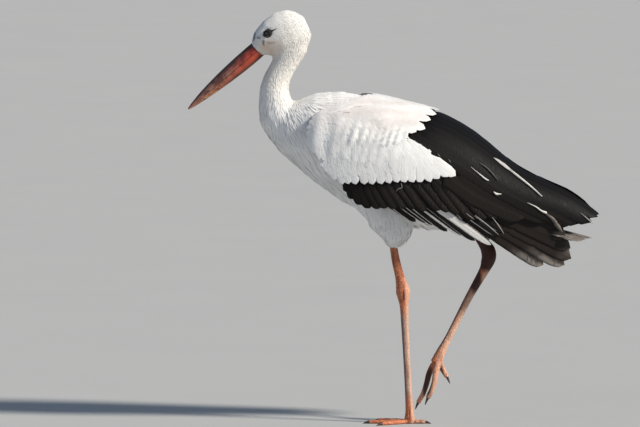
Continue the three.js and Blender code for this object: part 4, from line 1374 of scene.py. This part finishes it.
def horn_material():
    shader = Shader("bill_horn", Coat_Weight=0.25, Coat_Roughness=0.25)
    along, up, _ = shader.read("reach")
    lines = shader.noise(9, 5, (1, 12, 1), shader.attribute("reach"))
    blotches = shader.noise(70, 4)
    red = shader.mix(shader.ramp(blotches, 0.36, 0.62), (0.20, 0.014, 0.010), (0.52, 0.060, 0.022))
    faded = shader.mix(shader.ramp(blotches, 0.38, 0.58), (0.11, 0.035, 0.026), (0.33, 0.150, 0.105))
    colour = shader.mix(shader.ramp(along, 0.22, 0.5), red, faded)
    low = shader.times(shader.ramp(up, 0.05, -0.6), shader.ramp(along, 0.75, 0.3))
    colour = shader.mix(shader.times(low, 0.7), colour, (0.52, 0.07, 0.022))
    speckled = shader.ramp(shader.noise(330, 3), 0.42, 0.6)
    speckled = shader.times(speckled, shader.ramp(along, 0.42, 0.62))
    speckled = shader.times(speckled, shader.ramp(up, 0, -0.35))
    colour = shader.mix(shader.times(speckled, 0.8), colour, (0.62, 0.27, 0.12))
    keel = shader.plus(up, shader.ramp(lines, 0.3, 0.7, -0.2, 0.2))
    keel = shader.times(shader.ramp(keel, -0.62, -0.9), shader.ramp(along, 0.62, 0.4, 0, 0.9))
    colour = shader.mix(keel, colour, (0.06, 0.018, 0.013))
    tip = shader.ramp(along, 0.72, 0.97)
    colour = shader.mix(tip, colour, (0.36, 0.10, 0.05))
    # the dark stripe along the top of the bill is painted shade with dirt in it
    culmen = shader.plus(up, shader.ramp(lines, 0.3, 0.7, -0.28, 0.28))
    before_tip = shader.ramp(along, 0.93, 1.0, 1, 0.35)
    dark = shader.times(shader.ramp(culmen, 0.4, 0.85, 0, 0.97), before_tip)
    colour = shader.mix(dark, colour, (0.022, 0.012, 0.010))
    dirty = shader.times(shader.ramp(lines, 0.50, 0.66), shader.ramp(along, 0.05, 0.35, 0.35, 0.85))
    colour = shader.mix(dirty, colour, (0.12, 0.05, 0.035))
    # painted shade where the bill runs under the feathers at its base
    rim = shader.ramp(along, 0.004, 0.035, 0.85, 0)
    colour = shader.mix(rim, colour, (0.05, 0.022, 0.02))
    height = shader.plus(lines, shader.times(shader.cells(420, (1, 1, 1)), 0.4))
    return shader.finish(colour, shader.ramp(lines, 0.25, 0.75, 0.30, 0.55), height, 0.0003)


def mandible(above):
    """One half of the bill: an arc of horn closed by its cutting edges. The upper one has nostril slits."""
    rows = smooth_line(BILL, BILL_RINGS)
    spine, high, wide = rows[:, :3], rows[:, 3], rows[:, 4]
    ahead = unit(np.array(BILL[-1][:3], float) - np.array(BILL[0][:3]))
    up = np.array((ahead[2], 0, -ahead[0]))
    up = up if up[2] > 0 else -up
    rise_way = np.cross(RIGHT, unit(np.gradient(spine, axis=0)))
    rise_way *= np.sign(rise_way @ up)[:, None]
    level = (up @ np.array(BILL[0][:3], float)) + GAPE_RISE + (HALF_GAPE if above else -HALF_GAPE)
    low = np.arcsin(np.clip((level - spine @ up) / high, -0.96, 0.96))[:, None]
    start, end = (low, math.pi - low) if above else (-math.pi - low, low)
    angle = start + (end - start) * np.linspace(0, 1, BILL_ARC)[None]
    t = np.linspace(0, 1, BILL_RINGS)[:, None]
    round_it = np.sin(angle)
    keel = 0.06 * np.abs(round_it) ** 8
    size = 1 + keel - 0.05 * np.abs(np.sin(2 * angle)) ** 2
    rise = round_it * size
    slit = bell(t, *NOSTRIL_ALONG, 4) * bell(round_it, *NOSTRIL_UP) if above else 0
    groove = bell(round_it, NOSTRIL_UP[0], 0.16) * smoothstep(t, 0.02, 0.1) * fade(t, 0.4, 0.6)
    across = np.cos(angle) * size * (1 - 0.16 * slit - 0.05 * groove * above)
    inner = np.linspace(0, 1, GAPE_POINTS + 2)[None, 1:-1]
    first, last = across[:, -1:], across[:, :1]
    hollow = 0.10 * np.sin(inner * math.pi) * (1 if above else -1)
    across = np.concatenate((across, first + (last - first) * inner), 1)
    rise = np.concatenate((rise, rise[:, -1:] + hollow), 1)
    points = spine[:, None] + rise_way[:, None] * (high[:, None] * rise)[..., None]
    points = points + RIGHT * (wide[:, None] * across)[..., None]
    ring = rise.shape[1]
    values = np.stack((np.broadcast_to(t, rise.shape), rise, across * 0.2), -1)
    return points.reshape(-1, 3) * MM, tube_faces(BILL_RINGS, ring), values.reshape(-1, 3)


def make_bill():
    material = horn_material()
    for name, above in (("bill_upper", True), ("bill_lower", False)):
        points, faces, values = mandible(above)
        piece = mesh_object("horn_" + name, points, facing_out(points, faces), material)
        point_layer(piece, "reach", values)
        finish_piece(piece, "bill_horn", name)


def eye_material():
    shader = Shader("eye_dark", Roughness=0.06, Coat_Weight=1.0, Coat_Roughness=0.02)
    middle = shader.read("lie")[0]
    rays = shader.noise(6, 4, (1, 9, 1), shader.attribute("lie"))
    iris = shader.mix(shader.ramp(rays, 0.3, 0.7), (0.020, 0.010, 0.006), (0.055, 0.026, 0.014))
    colour = shader.mix(shader.ramp(middle, 0.30, 0.34), (0.002, 0.002, 0.002), iris)
    colour = shader.mix(shader.ramp(middle, 0.62, 0.70), colour, (0.010, 0.007, 0.006))
    return shader.finish(colour)


def bare_skin_material():
    shader = Shader("bare_face_skin", Specular_IOR_Level=0.25)
    pores = shader.cells(1500)
    folds = shader.noise(500, 3)
    colour = shader.mix(shader.ramp(folds, 0.3, 0.7), (0.004, 0.004, 0.0045), (0.012, 0.010, 0.010))
    height = shader.plus(shader.times(pores, 2.0), folds)
    return shader.finish(colour, shader.ramp(folds, 0.3, 0.7, 0.45, 0.7), height, 0.0002)


LID_OPENING = (4.9, 4.1)
LID_RINGS, LID_SIDES = 16, 64
EYE_RINGS = 28
CORNEA = 0.045  # how far the middle of the eye bulges, as a share of its radius
RIM_OVERLAP = 1.12  # how far the bare skin runs under the feathers round it


def eye_frame(side):
    """The middle of an eye, and the ways out of the head, back and up from it."""
    outward = unit(np.array(EYE_WAY) * (1, side, 1))
    along = unit(np.array((1.0, 0, 0)) - outward * outward[0])
    upward = np.cross(outward, along)
    return EYE * (1, side, 1), outward, along, upward if upward[2] > 0 else -upward


def make_eyeball(side_name, side, material):
    centre, outward, along, upward = eye_frame(side)
    share = np.linspace(0.004, 1, EYE_RINGS)[:, None]
    polar = share * math.pi * 0.62
    angle = np.linspace(0, 2 * math.pi, LID_SIDES, endpoint=False)[None]
    radius = EYE_RADIUS * (1 + CORNEA * bell(polar, 0, 0.55, 4))
    flat = np.sin(polar) * radius
    points = (centre + outward * (np.cos(polar) * radius)[..., None]
              + along * (flat * np.cos(angle))[..., None] + upward * (flat * np.sin(angle))[..., None])
    faces = facing_out(points.reshape(-1, 3), tube_faces(EYE_RINGS, LID_SIDES))
    ball = mesh_object(f"eyeball_{side_name}", points.reshape(-1, 3), faces, material)
    point_layer(ball, "lie", np.stack(np.broadcast_arrays(share, angle / 6.283, 0.0), -1))
    finish_piece(ball, "eye", f"eye_{side_name}")


def make_lids(side_name, side, surface, material):
    """The bare skin round an eye: rings that run from the ball over the lids and down under the feathers."""
    centre, outward, along, upward = eye_frame(side)
    angle = np.linspace(0, 2 * math.pi, LID_SIDES, endpoint=False)
    opening = np.stack((LID_OPENING[0] * np.cos(angle), LID_OPENING[1] * np.sin(angle)), -1)
    streak = bell(np.minimum(angle, 2 * math.pi - angle), 0, 0.17)
    reach = 1 + 0.22 * bell(angle, math.pi, 0.35) + 1.6 * streak
    rim = np.stack((BARE_HALF[0] * np.cos(angle) * reach, BARE_HALF[1] * np.sin(angle)), -1)
    rim *= RIM_OVERLAP
    c, s = math.cos(BARE_TILT), math.sin(BARE_TILT)
    rim = rim @ np.array(((c, s), (-s, c)))
    rings = []
    for k in range(LID_RINGS):
        q = k / (LID_RINGS - 1)
        flat = (opening + (rim - opening) * q**1.15) * MM
        base = centre + along * flat[:, :1] + upward * flat[:, 1:]
        away = (flat**2).sum(1)
        lid = EYE_RADIUS + (0.35 + 1.15 * math.sin(min(q / 0.22, 1) * math.pi / 2)) * MM
        on_ball = base + outward * np.sqrt(np.clip(lid**2 - away, 1e-8, None))[:, None]
        on_skin, normal = surface.settle(base + outward * 6 * MM)
        fold = 0.45 * math.sin(q * 19) * math.exp(-(((q - 0.35) / 0.2) ** 2))
        on_skin = on_skin + normal * ((1.1 - 1.7 * smoothstep(q, 0.8, 1) + fold) * MM)
        weight = smoothstep(q, 0.12, 0.62)
        rings.append(on_ball * (1 - weight) + on_skin * weight)
    inner = [r - outward * 3.2 * MM for r in (rings[-1], rings[LID_RINGS // 2])]
    behind = rings[0] - outward * 1.2 * MM
    points = np.concatenate([behind, *rings, inner[0], inner[1]])
    count = LID_RINGS + 3
    grid = np.arange(count * LID_SIDES).reshape(count, LID_SIDES)
    around = np.roll(grid, -1, 0)
    quads = np.stack((grid, np.roll(grid, -1, 1), np.roll(around, -1, 1), around), -1).reshape(-1, 4)
    lids = mesh_object(f"lids_{side_name}", points, facing_out(points, [quads]), material)
    finish_piece(lids, "eye")


def make_eyes(surface):
    ball_material, lid_material = eye_material(), bare_skin_material()
    for side_name, side in SIDES:
        make_eyeball(side_name, side, ball_material)
        make_lids(side_name, side, surface, lid_material)


# ---------------------------------------------------------------- bare legs and claws

LEFT_SHIN = [(-32, -27, 352, 7, 6), (-27, -24, 318, 7.8, 6.2), (-19, -20, 284, 8.8, 6.6),
             (-14, -16, 264, 12, 8.5), (-12, -15, 252, 13.5, 9.5), (-11, -14, 239, 11, 8.5),
             (-10, -13, 222, 8.2, 6.6), (-7, -9, 160, 6.8, 5.6), (-3, -5, 86, 6.5, 5.4),
             (0, -1, 28, 7.4, 7), (0.5, 0, 10, 9.6, 9.6), (0.5, 0, 0.6, 8.6, 8.6)]
RIGHT_SHIN = [(93, 39, 403, 7, 6), (99, 39, 396, 7, 6), (120, 39, 369, 7.6, 6.4), (138, 40, 345, 9.5, 8),
              (149, 40, 330, 13.5, 9.5), (152, 40, 317, 14, 10), (149, 40, 304, 12.6, 9),
              (141, 39, 286, 9.4, 7.4), (112, 34, 235, 7.2, 5.8), (77, 26, 166, 6.8, 5.6),
              (60, 21, 134, 9, 7.5), (51.5, 18, 114, 11.5, 9.5)]
LEFT_TOES = {"inner": (34, 58, 6), "middle": (2, 70, 7), "outer": (-32, 62, 6), "hind": (172, 25, 6)}
RIGHT_TOES = {
    "inner": [(54, 11, 110), (50, 6, 94), (47.5, 4, 78), (42, 3, 62), (35, 3, 48)],
    "middle": [(45, 18, 108), (37.5, 18, 92), (33, 18, 74), (26.5, 17, 55), (17, 16, 38)],
    "outer": [(55, 25, 109), (51, 30, 93), (48.5, 32, 77), (43, 32, 61), (37, 31, 50)],
    "hind": [(58, 19, 114), (62, 19, 105), (67, 19, 96), (72, 19, 87)],
}
CLAW_LENGTH = 11
CLAW_DROOP = 3.1
TOE_MEETING = (54, 18, 119)  # inside the raised foot
LEG_VOXEL = 0.0009
LOWEST_TOE, LOWEST_CLAW = 0.4 * MM, 0.2 * MM  # over the floor, before a leg is remeshed
TOE_RINGS = 48


def standing_toe(turn, length, start):
    """The rows of a toe that lies on the floor, with a small bulge at each joint."""
    angle = math.radians(turn)
    rows = []
    for share in (0, 0.18, 0.36, 0.53, 0.7, 0.86, 1):
        out = start + share * length
        knuckle = 0.55 if share in (0.36, 0.7) else 0
        taper = 1 - 0.22 * share
        x, y = -math.cos(angle) * out, -math.sin(angle) * out
        rows.append((x, y, 4.25 * taper, 4.2 * taper + knuckle, 5.0 * taper + knuckle))
    return rows


def raised_toe(places):
    """The rows of a toe that hangs in the air. Its root runs up into the end of the shank."""
    count = len(places) - 1
    rows = [(*TOE_MEETING, 6, 5.4)]
    for i, place in enumerate(places):
        taper = 1 - 0.26 * i / count
        rows.append((*place, 6 * taper, 5.1 * taper))
    return rows


def claw_rows(toe):
    before, last = (np.array(row[:3], float) for row in toe[-2:])
    ahead = unit(last - before)
    rows = []
    for share, size in ((-0.15, 0.9), (0.03, 1), (0.45, 0.75), (0.8, 0.45), (1, 0.2)):
        x, y, z = last + ahead * share * CLAW_LENGTH
        rows.append((x, y, z - CLAW_DROOP * share * abs(share), 2.7 * size, 2.6 * size))
    return rows


def leg_material(name, ankle, foot, line, shank_tones):
    """Scaly bare skin: orange-red over the joint and the foot, paler on the shank between them, with painted
    shade down the shank's left side and a painted highlight right of the shank's line.

    line is a place (x, z) on the shank and its lean, x for each z, which places the painted shade and
    highlight. shank_tones are dull and pale."""
    shader = Shader(name, Specular_IOR_Level=0.35)
    x, _, height = shader.parts(shader.place)
    plates = shader.cells(300, (1, 1, 0.8))
    grain = shader.noise(260, 4)
    stains = shader.noise(60, 5, (1, 1, 0.45))
    red = shader.mix(shader.ramp(grain, 0.3, 0.7), (0.50, 0.125, 0.055), (0.78, 0.30, 0.145))
    pale = shader.mix(shader.ramp(stains, 0.35, 0.62), *shank_tones)
    below_ankle = shader.ramp(height, ankle - 0.045, ankle - 0.008, 1, 0)
    shank = shader.times(below_ankle, shader.ramp(height, foot, foot + 0.04))
    colour = shader.mix(shank, red, pale)
    middle = shader.times(shader.minus(height, line[1] * MM), line[2])
    off = shader.minus(shader.minus(x, line[0] * MM), middle)
    # painted shade down the shank's left side, then a painted highlight right of the shank's line
    shaded = shader.times(shader.ramp(off, -0.002, -0.0052, 0, 0.75), shader.ramp(stains, 0.25, 0.5))
    colour = shader.mix(shader.times(shaded, shank), colour, (0.13, 0.045, 0.03))
    colour = shader.mix(shader.ramp(off, 0.0015, 0.0045, 0, 0.55), colour, (0.86, 0.56, 0.40))
    crack = shader.ramp(plates, 0.02, 0.14, 0.5, 0)
    colour = shader.mix(crack, colour, (0.20, 0.07, 0.045))
    grime = shader.times(shader.ramp(stains, 0.5, 0.72), 0.45)
    colour = shader.mix(grime, colour, (0.12, 0.055, 0.04))
    bumps = shader.plus(shader.ramp(plates, 0, 0.25), shader.times(grain, 0.3))
    return shader, colour, bumps


MUD_AND_PAINTED_SHADE = (0.030, 0.0075, 0.006)
PAINTED_SHADE_RED = (0.085, 0.010, 0.007)
SHANKS = {  # a place (x, z) on the shank and its lean, for the painted shade and highlight, then its dull and its pale colour
    "left": ((-3.5, 93, -0.052), ((0.40, 0.235, 0.18), (0.66, 0.46, 0.36))),
    "right": ((83, 180, 0.53), ((0.52, 0.24, 0.15), (0.74, 0.44, 0.31))),
}
LEG_MARKS = {  # place and radii in millimetres, inner share, strength, colour
    "left": [
        # painted shade in the grooves of the ankle and the foot, down the left side of the shin and under
        # the thigh feathers
        ((-11, -25, 246), (2.8, 9, 17), 0.4, 0.9, PAINTED_SHADE_RED),
        ((-17, -26, 236), (2.2, 9, 9), 0.3, 0.6, PAINTED_SHADE_RED),
        ((1, -9, 20), (2.4, 6, 22), 0.3, 0.8, PAINTED_SHADE_RED),
        ((-33, -27, 352), (14, 16, 16), 0.3, 0.7, PAINTED_SHADE_RED),
        ((-31, -27, 318), (3, 14, 46), 0.3, 0.5, PAINTED_SHADE_RED),
    ],
    "right": [
        # dark mud with a painted shadow of the wing over the ankle and the top of the shank, and painted
        # shade on the toes
        ((150, 40, 328), (44, 36, 48), 0.72, 0.97, MUD_AND_PAINTED_SHADE),
        ((126, 38, 272), (16, 30, 36), 0.55, 0.95, MUD_AND_PAINTED_SHADE),
        ((36, 10, 72), (14, 16, 50), 0.6, 0.9, MUD_AND_PAINTED_SHADE),
        ((60, 17, 98), (8, 12, 22), 0.4, 0.75, MUD_AND_PAINTED_SHADE),
    ],
}


def make_leg(side_name, rows, toes, ankle, foot):
    tubes = [(rows, 32, 170)] + [(toe, 24, TOE_RINGS) for toe in toes.values()]
    points, faces, start = [], [], 0
    for number, (line, sides, count) in enumerate(tubes):
        grid = tube_grid(line, sides, count)
        if number:  # a toe, with plates across its upper side, or all round it on the raised foot
            along = np.linspace(0, 1, count)[:, None]
            angle = np.linspace(0, 2 * math.pi, sides, endpoint=False)[None]
            on_top = np.clip(np.sin(angle), 0, 1) if side_name == "left" else 0.5
            spine = grid.mean(1, keepdims=True)
            ridges = np.abs(np.sin(along * math.pi * 13)) * 0.055 * on_top
            grid = spine + (grid - spine) * (1 + ridges)[..., None]
        grid[..., 2] = np.maximum(grid[..., 2], LOWEST_TOE)
        quads, first, last = facing_out(grid.reshape(-1, 3), list(tube_faces(count, sides)))
        caps = first[0], last[0]
        fans = [np.stack((np.full(sides - 2, cap[0]), cap[1:-1], cap[2:]), -1) for cap in caps]
        split = np.concatenate((quads[:, (0, 1, 2)], quads[:, (0, 2, 3)]))
        faces.append(np.concatenate((split, *fans)) + start)
        points.append(grid.reshape(-1, 3))
        start += count * sides
    points, faces = np.concatenate(points), np.concatenate(faces)
    points, quads = remeshed(f"rough_leg_{side_name}", points, faces, LEG_VOXEL, 4)
    points[:, 2] = np.maximum(points[:, 2], 0)
    shader, colour, bumps = leg_material(f"leg_skin_{side_name}", ankle, foot, *SHANKS[side_name])
    for place, radii, inner, strength, tone in LEG_MARKS[side_name]:
        mark = shader.times(shader.spot(place, radii, inner), strength)
        colour = shader.mix(mark, colour, tone)
    material = shader.finish(colour, shader.ramp(bumps, 0, 1.2, 0.62, 0.45), bumps, 0.0006)
    piece = mesh_object(f"leg_{side_name}_skin", points, [quads], material)
    parts = ["shin", "shank", *(f"toe_{toe}" for toe in toes)]
    finish_piece(piece, "leg_skin", *(f"leg_{side_name}_{part}" for part in parts))


def claw_material():
    shader = Shader("claw_horn")
    lines = shader.noise(300, 4, (1, 1, 3))
    colour = shader.mix(shader.ramp(lines, 0.3, 0.7), (0.022, 0.014, 0.012), (0.075, 0.05, 0.04))
    return shader.finish(colour, shader.ramp(lines, 0.3, 0.7, 0.35, 0.6), lines, 0.0002)


def make_claws(side_name, toes, material):
    points, faces, start = [], [[], []], 0
    for toe in toes.values():
        sides, count = 18, 20
        grid = tube_grid(claw_rows(toe), sides, count)
        grid[..., 2] = np.maximum(grid[..., 2], LOWEST_CLAW)
        quads, first, last = facing_out(grid.reshape(-1, 3), list(tube_faces(count, sides)))
        faces[0].append(quads + start)
        faces[1].extend((first + start, last + start))
        points.append(grid.reshape(-1, 3))
        start += count * sides
    faces = [np.concatenate(found) for found in faces]
    piece = mesh_object(f"claws_{side_name}", np.concatenate(points), faces, material)
    finish_piece(piece, "claw_horn", *(f"leg_{side_name}_claw_{toe}" for toe in toes))


# ---------------------------------------------------------------- the scene

add_camera()
add_lights()

HALF_FLOOR = 40  # metres
floor_shader = Shader("floor", Roughness=0.85)
floor_tint = floor_shader.mix(floor_shader.noise(3, 3), (0.47, 0.475, 0.47), (0.50, 0.50, 0.495))
corners = np.array([(x, y, 0) for x, y in ((-1, -1), (1, -1), (1, 1), (-1, 1))]) * HALF_FLOOR
floor_faces = [np.array([(0, 1, 2, 3)])]
floor = mesh_object("floor", corners, floor_faces, floor_shader.finish(floor_tint), smooth=False)

white = white_feather()
black = dark_feather("feather_black", BLACK)
skin = make_skin()
dress_body(skin, white)
for side_name, side in SIDES:
    dress_white_wing(side_name, side, white)
    dress_dark_wing(side_name, side, black)
dress_tail(black)

make_bill()
make_eyes(skin)
left_toes = {name: standing_toe(*values) for name, values in LEFT_TOES.items()}
right_toes = {name: raised_toe(places) for name, places in RIGHT_TOES.items()}
make_leg("left", LEFT_SHIN, left_toes, 0.235, 0.028)
make_leg("right", RIGHT_SHIN, right_toes, 0.285, 0.115)
claw_horn = claw_material()
make_claws("left", left_toes, claw_horn)
make_claws("right", right_toes, claw_horn)
